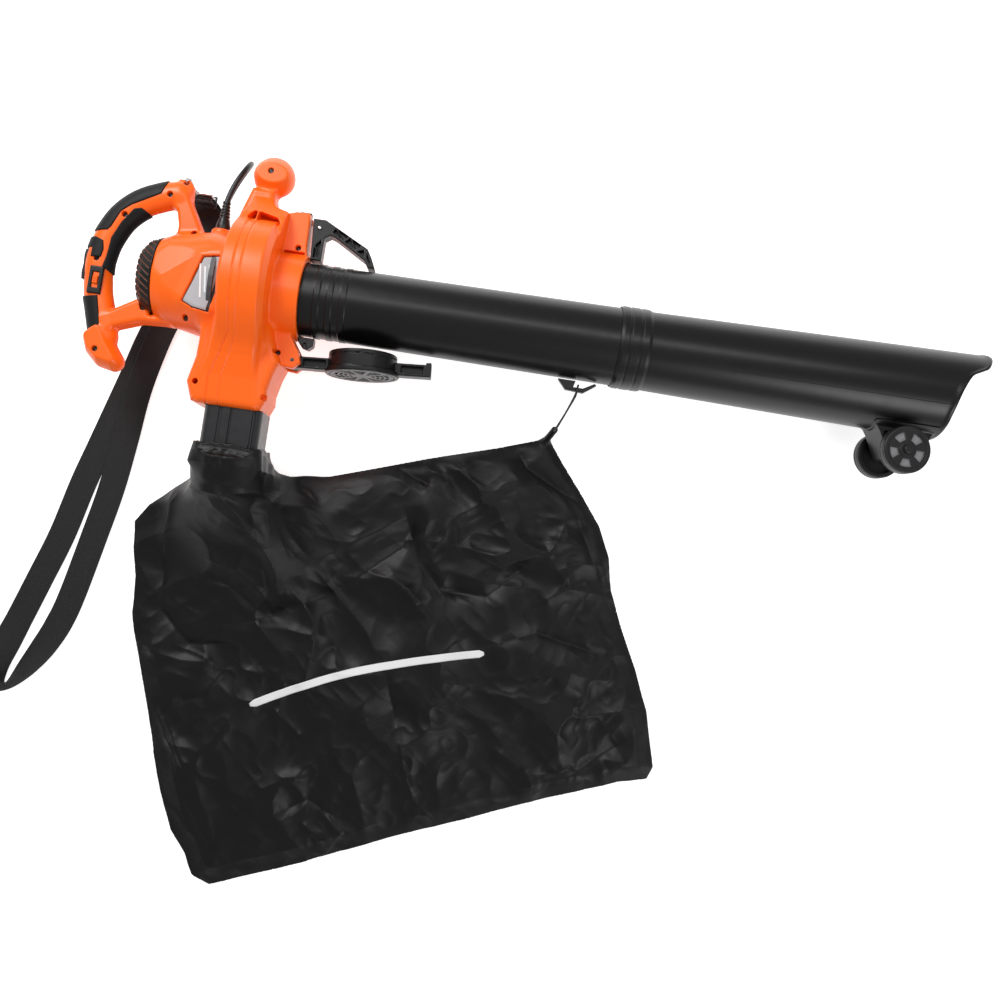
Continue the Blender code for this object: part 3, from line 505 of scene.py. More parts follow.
def corner_normals(field, points, quads, floor=None):
    """A normal for each face corner, taken a little way in from the corner so that creases stay crisp."""
    middles = points[quads].mean(axis=1)
    way, _ = slopes(field, (points[quads] * 0.72 + middles[:, None, :] * 0.28).reshape(-1, 3), 0.12)
    if floor is not None:
        flat = np.repeat((np.abs(points[quads][:, :, 2] - floor) < 1e-6).all(axis=1), 4)
        way[flat] = (0, 0, -1)
    return way


def mesh_from(name, points, quads, normals, mirror=False):
    """Blender object from millimetre points about the fan centre. mirror puts it on the other side."""
    points = points.copy()
    if mirror:
        points[:, 2] *= -1
        quads = quads[:, ::-1]
        normals = normals.reshape(-1, 4, 3)[:, ::-1].reshape(-1, 3) * (1, 1, -1)
    mesh = bpy.data.meshes.new(name)
    mesh.vertices.add(len(points))
    mesh.loops.add(len(quads) * 4)
    mesh.polygons.add(len(quads))
    placed_points = points * MM + np.array([0.0, 0.0, MID])
    mesh.vertices.foreach_set("co", placed_points.astype(np.float32).ravel())
    mesh.loops.foreach_set("vertex_index", quads.astype(np.int32).ravel())
    mesh.polygons.foreach_set("loop_start", np.arange(0, len(quads) * 4, 4, dtype=np.int32))
    mesh.update(calc_edges=True)
    mesh.validate()
    mesh.shade_smooth()
    if len(mesh.loops) == len(normals):
        mesh.normals_split_custom_set([tuple(n) for n in normals])
    return placed(name, mesh)


def ready(thing, body, slot, *nodes):
    """Puts a piece on its body, in place of the CAD nodes it stands for, which are hidden. The slot argument is not
    used.
    """
    if nodes:
        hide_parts(*nodes)
    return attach(thing, body)


def moulded(name, field, low, high, step, look, finish, floor=None, mirror=False, second=None, where=None):
    """A finished piece from a field or one distance function, meshed between two corners. finish is its body, its
    slot and the CAD nodes that it replaces. Faces where the function where is negative get the second look."""
    points, quads = surface_of(field, low, high, step, floor)
    thing = mesh_from(name, points, quads, corner_normals(field, points, quads, floor), mirror)
    thing.data.materials.append(LOOK[look])
    if second:
        thing.data.materials.append(LOOK[second])
        marks = where(points[quads].mean(axis=1))
        thing.data.polygons.foreach_set("material_index", (marks < 0).astype(np.int32))
    return ready(thing, *finish)


def pick(fine):
    return fine


# ---------------------------------------------------------------- housing


HANDLE_LINE = [
    (-113.1, 116.7), (-131, 111.5), (-160.1, 97.2), (-182.7, 75.1), (-196.9, 47.3), (-203.2, 23.6), (-204.8, 0.9),
    (-200.6, -30.7), (-194.4, -52.4), (-187.3, -77), (-183.8, -90.8),
]
HANDLE_CURVE = [(p.x, p.y) for p in smooth_line([(x, y, 0) for x, y in HANDLE_LINE], 40)]
HANDLE_HALF, HANDLE_THICK = 19.0, 16.0
MOTOR_SQUASH = 0.88  # the motor's barrel is this much flatter than round
# Housing screws: X, Y and the height of the head's face above the middle plane.
SCREWS = [
    (-122.1, 112.2, 11), (-177.5, 75.7, 11), (-204.8, 11.2, 12.5), (-134.5, -46.1, 11), (-186.7, -111, 15),
    (-82, 63.6, 9), (-70.4, -55, 30), (-42.9, -137.6, 20), (54.1, -81.4, 18), (59.2, 64.5, 14), (7.8, 163.3, 20),
]
PLAIN_HOLES = ((-33.0, 55.0, 46.0), (-36.0, -56.0, 62.0), (48.0, -146.0, 30.0))
SPIGOT = [
    (-47, -50), (-48.4, -104), (-55.6, -137.7), (-46.5, -163), (45.2, -163), (51.3, -148.2), (50.6, -135.1),
    (55.9, -111.1), (61, -97), (41.4, -50),
]
STALK = [(-40, 60), (-36, 72), (-14.9, 140.2), (15.8, 139.6), (18.5, 125.5), (25.1, 115.4), (42.4, 109.5), (41.7, 60)]
BLOCK = [(35.6, 46), (38.5, 109.5), (50.3, 113.7), (68.8, 113.9), (69.9, 68.1), (74, 46)]
BRACKET = [(39.6, -46), (66.7, -46), (68.5, -56.7), (81.8, -77), (85.4, -90.1), (76.5, -99.2), (43.6, -96.8)]
NECK = [
    (-115.3, 96.7), (-114.9, 120.7), (-99.9, 118.9), (-72.3, 68), (-56.5, 46), (-105.6, 46), (-106.2, 73.8),
    (-110.7, 91.7),
]
LUG = [(-116, 111.7), (-115.6, 138.2), (-101.5, 138.4), (-95, 130), (-99.1, 111.9)]
FOOT_CORE = [(-187, -88), (-196, -96), (-191.5, -108), (-179, -120), (-164, -123), (-178, -104)]
ARM = [
    (-193.6, -65.2), (-177.8, -55.4), (-143.2, -33.8), (-131.1, -35.8), (-124.9, -54), (-96, -54), (-96, -63),
    (-136.2, -65.5), (-168.9, -78.1), (-184.7, -92.8),
]
LABEL = [(-54, 25), (-26.5, 30), (-28, -2), (-38, -47), (-60, -44), (-75, -37), (-66, -12)]


def handle_at(p, grow=0.0):
    gap, _ = path_distance(p[:, 0], p[:, 1], HANDLE_CURVE)
    return (np.hypot(gap, p[:, 2] * (HANDLE_HALF / HANDLE_THICK)) - HANDLE_HALF) * 0.92 - grow


def drum_at(p):
    return turned_distance(p, [(-21.5, -5), (-21.5, 82), (-17.5, 94), (29.5, 94), (35, 86), (35, -5)]) - 3.0


def motor_at(p):
    """The motor's barrel, cut on its outer side to a flat panel with facets above, behind and below it."""
    x, y, z = p.T
    inset = [(-116.5, -5), (-116.5, 51.5), (-103, 58), (-52, 68), (-10, 68), (-10, -5)]
    barrel = (turned_distance(p, inset, MOTOR_SQUASH) - 4.0) * 0.94
    panel = 53.0 + 0.05 * y
    above = ((y - 41.0) - 0.317 * (x + 19.0)) * 0.953
    behind = 0.785 * (y - 28.0) - 0.619 * (x + 60.0)
    below = -(y + 47.0) - 0.05 * (x + 60.0)
    top = np.minimum(panel, panel - 0.45 * above)
    top = np.minimum(np.minimum(top, panel - 0.33 * behind), panel - 0.5 * below)
    return smooth_max(barrel, (z - top) * 0.8, 1.6)


def collar_at(p):
    return turned_distance(p, [(20, -5), (20, 57.4), (30, 57.4), (73.4, 56.0), (73.4, -5)]) - 1.5


def knob_at(p):
    x, y, z = p[:, 0] - 9.5, p[:, 1] - 161.2, p[:, 2]
    narrow = 1.0 + 0.55 * (z / 22.0) ** 2
    ball = (np.sqrt(x * x + (y * narrow) ** 2 + (z * 0.86) ** 2) - 28.0) * 0.75
    return smooth_max(ball, np.abs(z) - 22.0, 1.2)


def foot_at(p):
    """Rounded foot under the handle: a flat oval on each side, and a fuller body between them."""
    x, y, z = p.T
    outward = (z / 19.0) ** 2
    flat = flat_distance(x + 3.0 * outward, y - 3.0 * outward, FOOT_CORE) - 13.0 + 8.5 * outward
    return smooth_max(flat * 0.85, np.abs(z) - 19.0, 1.4)


def wedge_at(p):
    """The foot of the front grip's stalk, which arches over a pocket and runs down the side of the scroll."""
    x, y, z = p.T
    half = np.interp(y, [60.0, 97.0, 128.0], [56.0, 41.0, 16.0])
    flat = side_distance(
        p, [(-23, 58), (-23, 74), (-13, 110), (-9, 126), (14, 128), (24, 113), (41, 108), (41, 90), (38, 58)],
    )
    pocket = side_distance(p, [(-8, 50), (-8, 91), (-1, 101), (10, 100), (31, 94), (35, 88), (36, 50)])
    body = smooth_max(flat, (np.abs(z) - half) * 0.85, 3.0)
    return smooth_max(body, -smooth_max(pocket, 1.1 - np.abs(x - 4.0), 0.8), 1.2)


def throat_at(p):
    """The bottom of the scroll, drawn out into the outlet."""
    half = np.interp(-p[:, 1], [60.0, 97.0, 125.0, 160.0], [70.0, 54.0, 46.0, 42.0])
    flat = side_distance(p, [(-23, -55), (32, -55), (33, -110), (38, -162), (-38, -162), (-36, -120)])
    return smooth_max(flat, (np.abs(p[:, 2]) - half) * 0.9, 8.0)


def boot_dome_at(p):
    return rounded(np.hypot(p[:, 0] + 49.4, p[:, 2]) - 14.0, np.abs(p[:, 1] - 62.0) - 16.0, 4.0)


def rest_at(p):
    """Round rest under the left half, on which the machine lies."""
    return rounded(np.hypot(p[:, 0] - 5.0, p[:, 1]) - 26.0, np.abs(p[:, 2] - 90.0) - 15.0, 2.0)


def scroll_steps(old, _, p):
    """Two fine steps run round the scroll and down the outlet, and a raised band lies between them."""
    x, y, z = p.T
    low = np.clip((-y - 70.0) / 60.0, 0.0, 1.0)
    first, second = np.abs(x + 4.0 + 22.0 * low), np.abs(x - 6.0 + 16.0 * low)
    sink = 1.3 * np.exp(-((first / 1.1) ** 2)) + 1.0 * np.exp(-((second / 1.1) ** 2))
    return np.where((np.hypot(y, z) > 60.0) & (y < 96.0), old + sink, old)


def label_border(old, _, p):
    """The label lies in a shallow recess with a raised border."""
    flat = side_distance(p, LABEL)
    rim = 1.6 * np.exp(-((np.maximum(flat - 1.0, 0.0) / 7.0) ** 2)) * (flat > 0)
    well = -1.8 / (1.0 + np.exp(flat * 3.0))
    return np.where(p[:, 2] > 25.0, old - rim - well, old)


def block_slot(p):
    return rounded(np.abs(p[:, 1] - 57.5) - 1.7, np.maximum(np.abs(p[:, 0] - 55.0) - 14.0, 12.0 - p[:, 2]), 0.6)


def hole_at(x, y, bottom):
    return lambda p: np.maximum(np.hypot(p[:, 0] - x, p[:, 1] - y) - 3.9, bottom - p[:, 2])


def motor_room(p):
    return turned_distance(
        p, [(-140, -5), (-140, 47), (-104.5, 49), (-52, 50), (-30, 50), (-30, -5)], MOTOR_SQUASH,
    )


def air_way(p):
    return turned_distance(
        p, [(-34, -5), (-34, 12), (-20, 12), (-20, 85), (30, 85), (30, 50.3), (90, 50.3), (90, -5)],
    )


def box_at(low, high):
    low, high = np.array(low, float), np.array(high, float)
    return lambda p: np.max(np.abs(p - (low + high) / 2) - (high - low) / 2, axis=1)


def housing_field(right):
    field = Field()
    for solid in (
        (drum_at, (-25, -98, -98), (39, 98, 98), 0.0),
        (motor_at, (-121, -73, -65), (-10, 73, 65), 10.0),
        (collar_at, (20, -60, -60), (76, 60, 60), 4.0),
        (prism(SPIGOT, -42, 42, 9.0), (-56, -164, -42), (62, -45, 42), 12.0),
        (prism(STALK, -17, 17, 8.0), (-41, 60, -17), (43, 141, 17), 7.0),
        (knob_at, (-20, 132, -26), (39, 190, 26), 7.0),
        (prism(BLOCK, -20, 20, 2.6), (35, 46, -20), (75, 114, 20), 2.5),
        (prism(BRACKET, -24, 24, 2.0), (39, -100, -24), (86, -46, 24), 2.5),
        (prism(NECK, -14, 14, 6.0), (-116, 46, -14), (-56, 121, 14), 7.0),
        (prism(LUG, -5, 5, 1.5), (-116, 111, -5), (-95, 139, 5), 2.5),
        (handle_at, (-226, -110, -16), (-94, 136, 16), 5.0),
        (foot_at, (-212, -138, -19), (-148, -74, 19), 4.0),
        (wedge_at, (-24, 57, -58), (42, 128, 58), 3.0),
        (throat_at, (-42, -164, -70), (42, -54, 70), 9.0),
        (prism(ARM, -15, 15, 6.5), (-194, -93, -15), (-96, -33, 15), 5.0),
        (boot_dome_at, (-64, 46, -14), (-35, 78, 14), 4.0),
    ):
        field.add(*solid)
    if not right:
        field.add(rest_at, (-21, -26, 75), (31, 26, 105), 2.0)
    field.add(lambda p: p[:, 0], (-60, -160, -98), (40, 98, 98), mode=scroll_steps)
    field.cut(block_slot, (41, 55, 12), (69, 60, 30), 0.8)
    field.add(lambda p: p[:, 0], (-86, -54, 20), (-20, 38, 76), mode=label_border)
    if right:
        for x, y, head in SCREWS:
            field.cut(hole_at(x, y, head - 6.3), (x - 5, y - 5, head - 7), (x + 5, y + 5, head + 50), 0.9)
        for x, y, head in PLAIN_HOLES:
            field.cut(hole_at(x, y, head), (x - 5, y - 5, head - 1), (x + 5, y + 5, head + 50), 0.9)
    field.cut(motor_room, (-140, -51, -46), (-30, 51, 46))
    field.cut(air_way, (-34, -86, -86), (90, 86, 86))
    # Outlet, hinge slot, and wells for the button, the interlock, the rocker and the switches behind it.
    for low, high in (
        ((-27.5, -180, -33.5), (40.5, -60, 33.5)), ((63.6, -111, -12), (95.8, -59.3, 12)),
        ((52.5, 100, -6.6), (68.4, 122, 6.6)), ((48.6, 75, -6), (66.4, 91.5, 6)),
        ((-234.4, -20.3, -8.5), (-213.2, 26, 8.5)), ((-214.7, -16.9, -10), (-195.1, 6.3, 10)),
        ((-202.8, -60.2, -6), (-187.7, -33.7, 6)),
    ):
        field.cut(box_at(low, high), low, high)
    field.cut(lambda p: np.hypot(p[:, 0] + 105.4, p[:, 1] - 132.3) - 3.2, (-110, 128, -10), (-101, 137, 10))
    field.cut(
        lambda p: np.maximum(np.hypot(p[:, 0] + 49.4, p[:, 2]) - 6.0, 60.0 - p[:, 1]), (-56, 60, -7), (-43, 90, 7),
    )
    return field


def make_housing():
    for side, height in (("right", 100), ("left", 110)):
        moulded(
            f"housing_{side}", housing_field(side == "right"), (-228, -170, 0), (98, 194, height), pick(1.5),
            "orange", ("machine", "housing_orange", f"housing_{side}_shell"), floor=0.15, mirror=side == "left",
        )


def make_screws():
    """Round heads with a cross slot, sunk in the housing's recesses."""
    def head(p):
        x, y, z = p.T
        radius = np.hypot(x, y)
        body = rounded(radius - 3.5, np.abs(z + 3.0) - 3.0, 0.7)
        dome = np.sqrt(radius ** 2 + (z + 7.0) ** 2) - 7.0
        wide, tall = np.abs(x), np.abs(y)
        cross = np.minimum(np.maximum(wide - 0.55, tall - 2.1), np.maximum(tall - 0.55, wide - 2.1))
        return np.maximum(np.maximum(body, dome), -np.maximum(cross, -1.5 - z))

    points, quads = surface_of(head, (-4.5, -4.5, -7), (4.5, 4.5, 1), 0.5)
    normals = corner_normals(head, points, quads)
    for i, spot in enumerate(SCREWS, 1):
        thing = mesh_from(f"screw_{i:02d}", points + np.array(spot), quads, normals)
        thing.data.materials.append(LOOK["screw"])
        ready(thing, "machine", "steel", f"housing_screw_{i:02d}")


# ---------------------------------------------------------------- turned and swept pieces, in metres


def soften(profile, r):
    """Closed profile with rounded corners and a support point on each side of every corner."""
    out = []
    for i, corner in enumerate(profile):
        here = Vector(corner)
        back = Vector(profile[i - 1]) - here
        ahead = Vector(profile[(i + 1) % len(profile)]) - here
        reach = min(r, back.length * 0.3, ahead.length * 0.3)
        a = here + back.normalized() * reach
        b = here + ahead.normalized() * reach
        if back.length > 4 * reach:
            out.append(here + back.normalized() * reach * 1.8)
        out.extend(a.lerp(here, t).lerp(here.lerp(b, t), t) for t in (0.0, 0.33, 0.67, 1.0))
        if ahead.length > 4 * reach:
            out.append(here + ahead.normalized() * reach * 1.8)
    return [(p.x, p.y) for p in out]


def skin(name, rings, look, loop=False):
    """Smooth closed mesh through rings of points. A loop has no ends to close."""
    bm = bmesh.new()
    made = [[bm.verts.new(p) for p in ring] for ring in rings]
    size = len(rings[0])
    for k in range(len(made) if loop else len(made) - 1):
        one, two = made[k], made[(k + 1) % len(made)]
        for i in range(size):
            j = (i + 1) % size
            bm.faces.new((one[i], one[j], two[j], two[i]))
    if not loop:
        bm.faces.new(made[0][::-1])
        bm.faces.new(made[-1])
    bmesh.ops.recalc_face_normals(bm, faces=bm.faces)
    mesh = bpy.data.meshes.new(name)
    bm.to_mesh(mesh)
    bm.free()
    mesh.shade_smooth()
    mesh.materials.append(LOOK[look])
    return placed(name, mesh)


def lathe(name, profile, centre, look, axis="X", sides=96, soft=0.0006):
    """Closed profile of (distance along the axis, radius) turned into a ring or tube."""
    ring = soften(profile, soft)
    rings = []
    for k in range(sides):
        turn = 2 * math.pi * k / sides
        row = []
        for along, radius in ring:
            a, b = radius * math.cos(turn), radius * math.sin(turn)
            spot = {"X": (along, a, b), "Y": (a, along, b), "Z": (a, b, along)}[axis]
            row.append(tuple(s + c for s, c in zip(spot, centre)))
        rings.append(row)
    return skin(name, rings, look, loop=True)


def rod(name, profile, centre, look, axis, sides, soft):
    """As lathe, for a piece with a solid middle: the profile runs from the axis and back to it."""
    tiny = 0.00005
    return lathe(name, [(profile[0][0], tiny), *profile, (profile[-1][0], tiny)], centre, look, axis, sides, soft)


def pin(half, radius):
    """Profile of a pin with broken edges: half its length and its radius."""
    return [(-half, radius - 0.001), (0.0004 - half, radius), (half - 0.0004, radius), (half, radius - 0.001)]


# ---------------------------------------------------------------- cord, string


# The routes are those of the CAD solids. They begin at the cord's exit.
CORD_ROUTE = [
    (-0.0494, 0.08, 0.105), (-0.0494, 0.1, 0.105), (-0.0494, 0.119, 0.105), (-0.0425, 0.144, 0.1045),
    (-0.034, 0.167, 0.0985), (-0.0315, 0.1835, 0.082), (-0.0375, 0.1895, 0.059), (-0.051, 0.183, 0.036),
    (-0.0655, 0.166, 0.0195), (-0.075, 0.143, 0.013), (-0.0772, 0.118, 0.0125), (-0.0746, 0.095, 0.0125),
    (-0.0695, 0.076, 0.0132), (-0.0648, 0.061, 0.0158), (-0.062, 0.05, 0.0181), (-0.0611, 0.044, 0.0188),
    (-0.0609, 0.0397, 0.019),
]
STRING_ROUTE = [
    (0.463, -0.0613, 0.1062), (0.4619, -0.0631, 0.113), (0.46, -0.0757, 0.1125), (0.4541, -0.0958, 0.082),
    (0.4477, -0.1117, 0.056), (0.4452, -0.1184, 0.038), (0.445, -0.1188, 0.032), (0.4467, -0.1181, 0.027),
    (0.4504, -0.1082, 0.044), (0.4563, -0.0914, 0.074), (0.462, -0.0753, 0.0975), (0.4638, -0.063, 0.0975),
]
PLUG = (-0.0609, 0.0029, 0.0190)
PLUG_PROFILE = [
    (-0.006, 0.016), (-0.004, 0.0172), (0.007, 0.0182), (0.012, 0.018), (0.014, 0.0166), (0.016, 0.0174),
    (0.018, 0.016), (0.02, 0.016), (0.022, 0.014), (0.024, 0.0135), (0.026, 0.011), (0.029, 0.0098), (0.031, 0.0074),
    (0.038, 0.0058),
]


def cord_curve(name, route, count, diameter, look, *finish):
    """Round cord through a route, on its body. Gives the piece, its exit and its length."""
    line = even_line(route, count)
    curve = bpy.data.curves.new(name, "CURVE")
    curve.dimensions = "3D"
    curve.bevel_depth = diameter / 2
    curve.bevel_resolution = 6
    curve.use_fill_caps = True
    run = curve.splines.new("POLY")
    run.points.add(len(line) - 1)
    for point, place in zip(run.points, line):
        point.co = (*place, 1.0)
    run.use_smooth = True
    curve.materials.append(LOOK[look])
    return ready(placed(name, curve), *finish), line[0], sum(math.dist(a, b) for a, b in zip(line, line[1:]))


def make_cords():
    cord, start, length = cord_curve(
        "power_cord_run", CORD_ROUTE, 38, 0.0075, "cord", "machine", "cord_jacket", "power_cord",
    )
    body = rod("plug_body", PLUG_PROFILE, PLUG, "cord", "Y", 64, 0.0012)
    ready(body, "machine", "black_plastic", "mains_plug")
    for side in (-0.0095, 0.0095):
        profile = [(-0.0250, 0.0012), (-0.0240, 0.0023), (-0.0050, 0.0024)]
        made = rod("plug_pin", profile, (PLUG[0] + side, *PLUG[1:]), "steel", "Y", 24, 0.0005)
        ready(made, "machine", "steel")
    ribs = [(0.0783, 0.0042), (0.1180, 0.0042), (0.1180, 0.0052)]
    for i in range(5):
        at = 0.1150 - i * 0.0045
        wide = 0.0054 + i * 0.0004
        ribs += [(at, wide), (at - 0.0012, wide - 0.0008), (at - 0.0022, wide - 0.0007), (at - 0.0034, wide + 0.0003)]
    ribs += [(0.0900, 0.0080), (0.0840, 0.0095), (0.0783, 0.0095)]
    boot = lathe("cord_boot", ribs, (-0.0494, 0.0, MID), "cord", "Y", 48)
    ready(boot, "machine", "black_plastic", "cable_boot")
    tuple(start)
    string, start, length = cord_curve(
        "bag_string_loop", STRING_ROUTE, 36, 0.0026, "thread", "machine", "strap_fabric", "bag_string",
    )
    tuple(start)


# ---------------------------------------------------------------- handle fittings, label, vents


# Rubber pads of the handle: piece, low and high corner, CAD node, and the outlines that they cover.
GRIPS = [
    ("grip_upper", (-228, -3), (-126, 142), "grip_pad_upper", [
        [(-128, 150), (-129, 125), (-133, 111), (-169, 90), (-182, 79), (-192, 56), (-196, 51), (-209, 49),
         (-235, 49), (-235, 150)],
        [(-240, 41), (-211, 40.5), (-199, 36), (-197, 24), (-199, 13), (-213, 12), (-213, 25), (-240, 25)],
    ]),
    ("grip_lower", (-222, -90), (-184, -37), "grip_pad_lower", [
        [(-240, -41), (-209, -41), (-195, -39), (-190, -60), (-185, -84), (-196, -87), (-240, -87)],
    ]),
    ("grip_inner", (-198, -12), (-130, 92), "grip_pad_inner", [
        [(-166, 85), (-157, 88), (-140, 80), (-120, 60), (-150, 0), (-179, -9), (-196, 1), (-193, 16), (-190, 42),
         (-180, 65)],
    ]),
]


def make_grips():
    for name, low, high, node, areas in GRIPS:
        def body(p, areas=areas):
            area = np.min([side_distance(p, outline) for outline in areas], axis=0)
            return smooth_max(np.maximum(handle_at(p, 1.7), -handle_at(p, -3.5)), area, 1.8)

        finish = ("machine", "grip_rubber", node)
        moulded(name, body, (*low, -20), (*high, 20), pick(1.2), "grip", finish)


def make_switches():
    face = 16.3      # height of the bezel's seat above the middle plane
    bezel = Field()
    bezel.add(
        prism([(-209.8, -37.5), (-191.9, -37.5), (-191.9, -0.2), (-209.8, -0.2)], face - 4, face + 2.2, 1.6),
        (-210, -38, face - 4), (-191, 0, face + 2.2),
    )
    bezel.cut(
        prism([(-205.2, -29.7), (-196.6, -29.7), (-196.6, -8), (-205.2, -8)], face - 0.6, face + 9, 0.6),
        (-206, -30, face), (-196, -7, face + 9), 0.8,
    )
    moulded(
        "switch_bezel_cover", bezel, (-211, -39, face - 5), (-190, 1, face + 3), 0.7, "black",
        ("machine", "black_plastic", "switch_bezel"),
    )
    bed = block((-205.0, -29.5, face - 0.5), (-196.8, -8.2, face + 0.2), 0.1)
    finish = ("machine", "slider_orange")
    moulded("speed_slider_bed", bed, (-206, -31, face - 1.5), (-195, -7, face + 1), 0.5, "orange", finish)

    def slider(p):
        low = block((-204.2, -24.4, face + 0.4), (-197.6, -13.3, face + 1.4), 0.4)(p)
        knob = block((-204.2, -23.8, face + 0.4), (-197.6, -13.9, face + 3.6), 0.8)(p)
        ribs = np.abs(((p[:, 1] + 18.9) / 2.4 + 0.5) % 1.0 - 0.5) * 2.4
        return np.maximum(smooth_min(low, knob, 1.0), -np.maximum(ribs - 0.35, face + 3.0 - p[:, 2]))

    finish = ("speed_slider", "slider_orange", "speed_slider")
    moulded("speed_slider_cap", slider, (-206, -26, face - 1), (-195, -12, face + 5), 0.6, "orange", finish)
    rocker = [(-223.6, -17.8), (-224.6, -9), (-223.6, 2.8), (-224.4, 14.6), (-223.2, 23.5), (-216.6, 23.5),
              (-215.8, 2.8), (-217.4, -17.8)]
    finish = ("power_rocker", "black_plastic", "power_rocker")
    moulded("power_rocker_cap", prism(rocker, -8, 8, 1.4), (-226, -19, -9), (-214, 25, 9), 0.8, "black", finish)

    def button(p):
        body = prism([(53.0, 105.6), (67.9, 105.6), (67.9, 119.0), (53.0, 119.0)], -6, 6, 1.4)(p)
        ribs = np.abs(((p[:, 0] - 60.4) / 3.0 + 0.5) % 1.0 - 0.5) * 3.0
        return np.maximum(body, -np.maximum(ribs - 0.5, 118.3 - p[:, 1]))

    finish = ("tube_release_button", "black_plastic", "tube_release_button")
    moulded("tube_release_cap", button, (52, 104, -7), (69, 120, 7), 0.7, "black", finish)


def make_label():
    inner = [(-52.6, 23.6), (-33, 27.5), (-33.5, -2), (-41.5, -44.5), (-59.6, -42), (-72.8, -36), (-64.3, -12)]

    def layer(p, sink, half):
        """A thin layer that follows the motor's outer side."""
        return np.abs(motor_at(p) + sink) - half

    def plate(p):
        return np.maximum(smooth_max(layer(p, 0.9, 0.6), side_distance(p, inner), 0.8), 20.0 - p[:, 2])

    def bars(p):
        """Plain bars in place of the printing, in rows across the plate."""
        row = (p[:, 0] + 39.0 + 0.12 * (p[:, 1] - 26)) / 6.2
        number = np.round(row)
        ends = np.where(number % 2 == 0, 9.0, 2.0)
        inside = (p[:, 1] > -31 + ends) & (p[:, 1] < 16 - ends * 0.4) & (number <= -0.5) & (number >= -3.5)
        marks = np.where(inside, np.abs(row - number) * 6.2 - 1.25, 5.0)
        return largest(layer(p, 0.9, 0.85), marks, 20.0 - p[:, 2])

    def backing(p):
        return largest(layer(p, 2.2, 0.8), side_distance(p, LABEL) + 0.3, 20.0 - p[:, 2])

    step = pick(0.6)
    finish = ("machine", "label_silver", "name_plate")
    moulded("name_plate_face", plate, (-77, -48, 30), (-28, 32, 66), step, "silver", finish)
    moulded("name_plate_bars", bars, (-70, -48, 30), (-28, 32, 66), step, "label_white", finish[:2])
    moulded("name_plate_bed", backing, (-79, -50, 30), (-24, 33, 66), 1.2, "label_dark", ("machine", "black_plastic"))


def make_vent_cap():
    outline = [(-119.5, -5.0), (-119.5, 53.5), (-134, 48.0), (-142.5, 38.5), (-146.0, 19), (-146.0, -5.0)]

    def outer(p):
        return (turned_distance(p, outline, MOTOR_SQUASH) - 1.5) * (0.5 + 0.5 * MOTOR_SQUASH)

    def slots(p):
        """Distance to the nearest of the slanting slots."""
        slant = p[:, 1] * 0.80 + p[:, 0] * 0.60
        return np.abs((slant / 7.0) % 1.0 - 0.5) * 7.0

    def depth(p):
        """Negative in a thin layer under the outer face, clear of the cap's rim and notch."""
        rim = np.maximum(p[:, 0] + 123.5, np.where(np.abs(p[:, 2]) < 22, -30.0 - p[:, 1], -60))
        return np.maximum(-(outer(p) + 1.1), rim)

    def cap(p):
        inner = turned_distance(
            p, [(-110, -9), (-110, 50.5), (-133, 45), (-140, 36), (-143, 17), (-143, -9)], MOTOR_SQUASH,
        )
        notch = block((-175, -70, -15.2), (-111, -33.5, 15.2), 1.0)(p)
        body = smooth_max(largest(outer(p), -inner, p[:, 0] + 120.7), -notch, 0.6)
        return smooth_max(body, -(np.maximum(slots(p) - 0.8, depth(p))), 0.5)

    moulded(
        "vent_cap", cap, (-150, -57, -51), (-119.4, 57, 51), pick(1.1), "black",
        ("machine", "black_plastic", "rear_vent_cap"), second="slots",
        where=lambda p: np.maximum(slots(p) - 0.85, depth(p) - 0.8),
    )


# ---------------------------------------------------------------- duct, tubes, wheels


def make_duct():
    def duct(p):
        x, y, z = p[:, 0], p[:, 1], np.abs(p[:, 2])
        wall = rounded(np.abs(x - 9.5) - 38.5, z - 36.0, 13.0)
        inner = rounded(np.abs(x - 9.5) - 33.0, z - 30.0, 10.0)
        for at, wide in ((-5.5, 2.0), (8.4, 1.1), (38.5, 1.8)):
            wall = np.maximum(wall, -np.maximum(np.abs(x - at) - wide, 34.0 - z))
        lower = largest(wall, -inner, y + 163.7)
        upper = largest(rounded(np.abs(x - 6.5) - 33.0, z - 32.6, 11.0), -inner, y + 150.0)
        return np.maximum(np.minimum(lower, upper), -234.5 - y)

    finish = ("machine", "duct_grey", "outlet_duct")
    moulded("outlet_duct_walls", duct, (-31, -236.5, -38), (50, -148.5, 38), pick(1.5), "duct", finish)


LOWER_START, LOWER_WALL, LOWER_BEAD = 0.5273, 0.0025, 0.0009


def lower_radius(x):
    """The lower tube widens evenly towards its nozzle."""
    return 0.0540 + (x - LOWER_START) * 0.0107 / 0.5327


def tube_ring(angle, end):
    """Closed wall section of the lower tube at one angle round it, with a rolled lip at its slanted end."""
    up, out = math.sin(angle), math.cos(angle)
    start, wall, lip, r = LOWER_START, LOWER_WALL, LOWER_BEAD, lower_radius(end)
    stations = list(np.linspace(start + 0.002, end - 0.012, 14))
    section = [(start, lower_radius(start) - 0.0004), (start + 0.0005, lower_radius(start))]
    section += [(x, lower_radius(x)) for x in stations]
    section += [
        (end - 0.0065, r), (end - 0.0055, r + lip * 0.6), (end - 0.0045, r + lip), (end - 0.0015, r + lip),
        (end - 0.0004, r + lip * 0.7), (end, r - 0.0004),
    ]
    section += [(end, r - wall + 0.0004), (end - 0.0006, r - wall), (end - 0.012, r - wall)]
    section += [(x, lower_radius(x) - wall) for x in reversed(stations[:-1])]
    section += [(start + 0.0005, lower_radius(start) - wall), (start, lower_radius(start) - wall + 0.0004)]
    return [(x, radius * up, MID + radius * out) for x, radius in section]


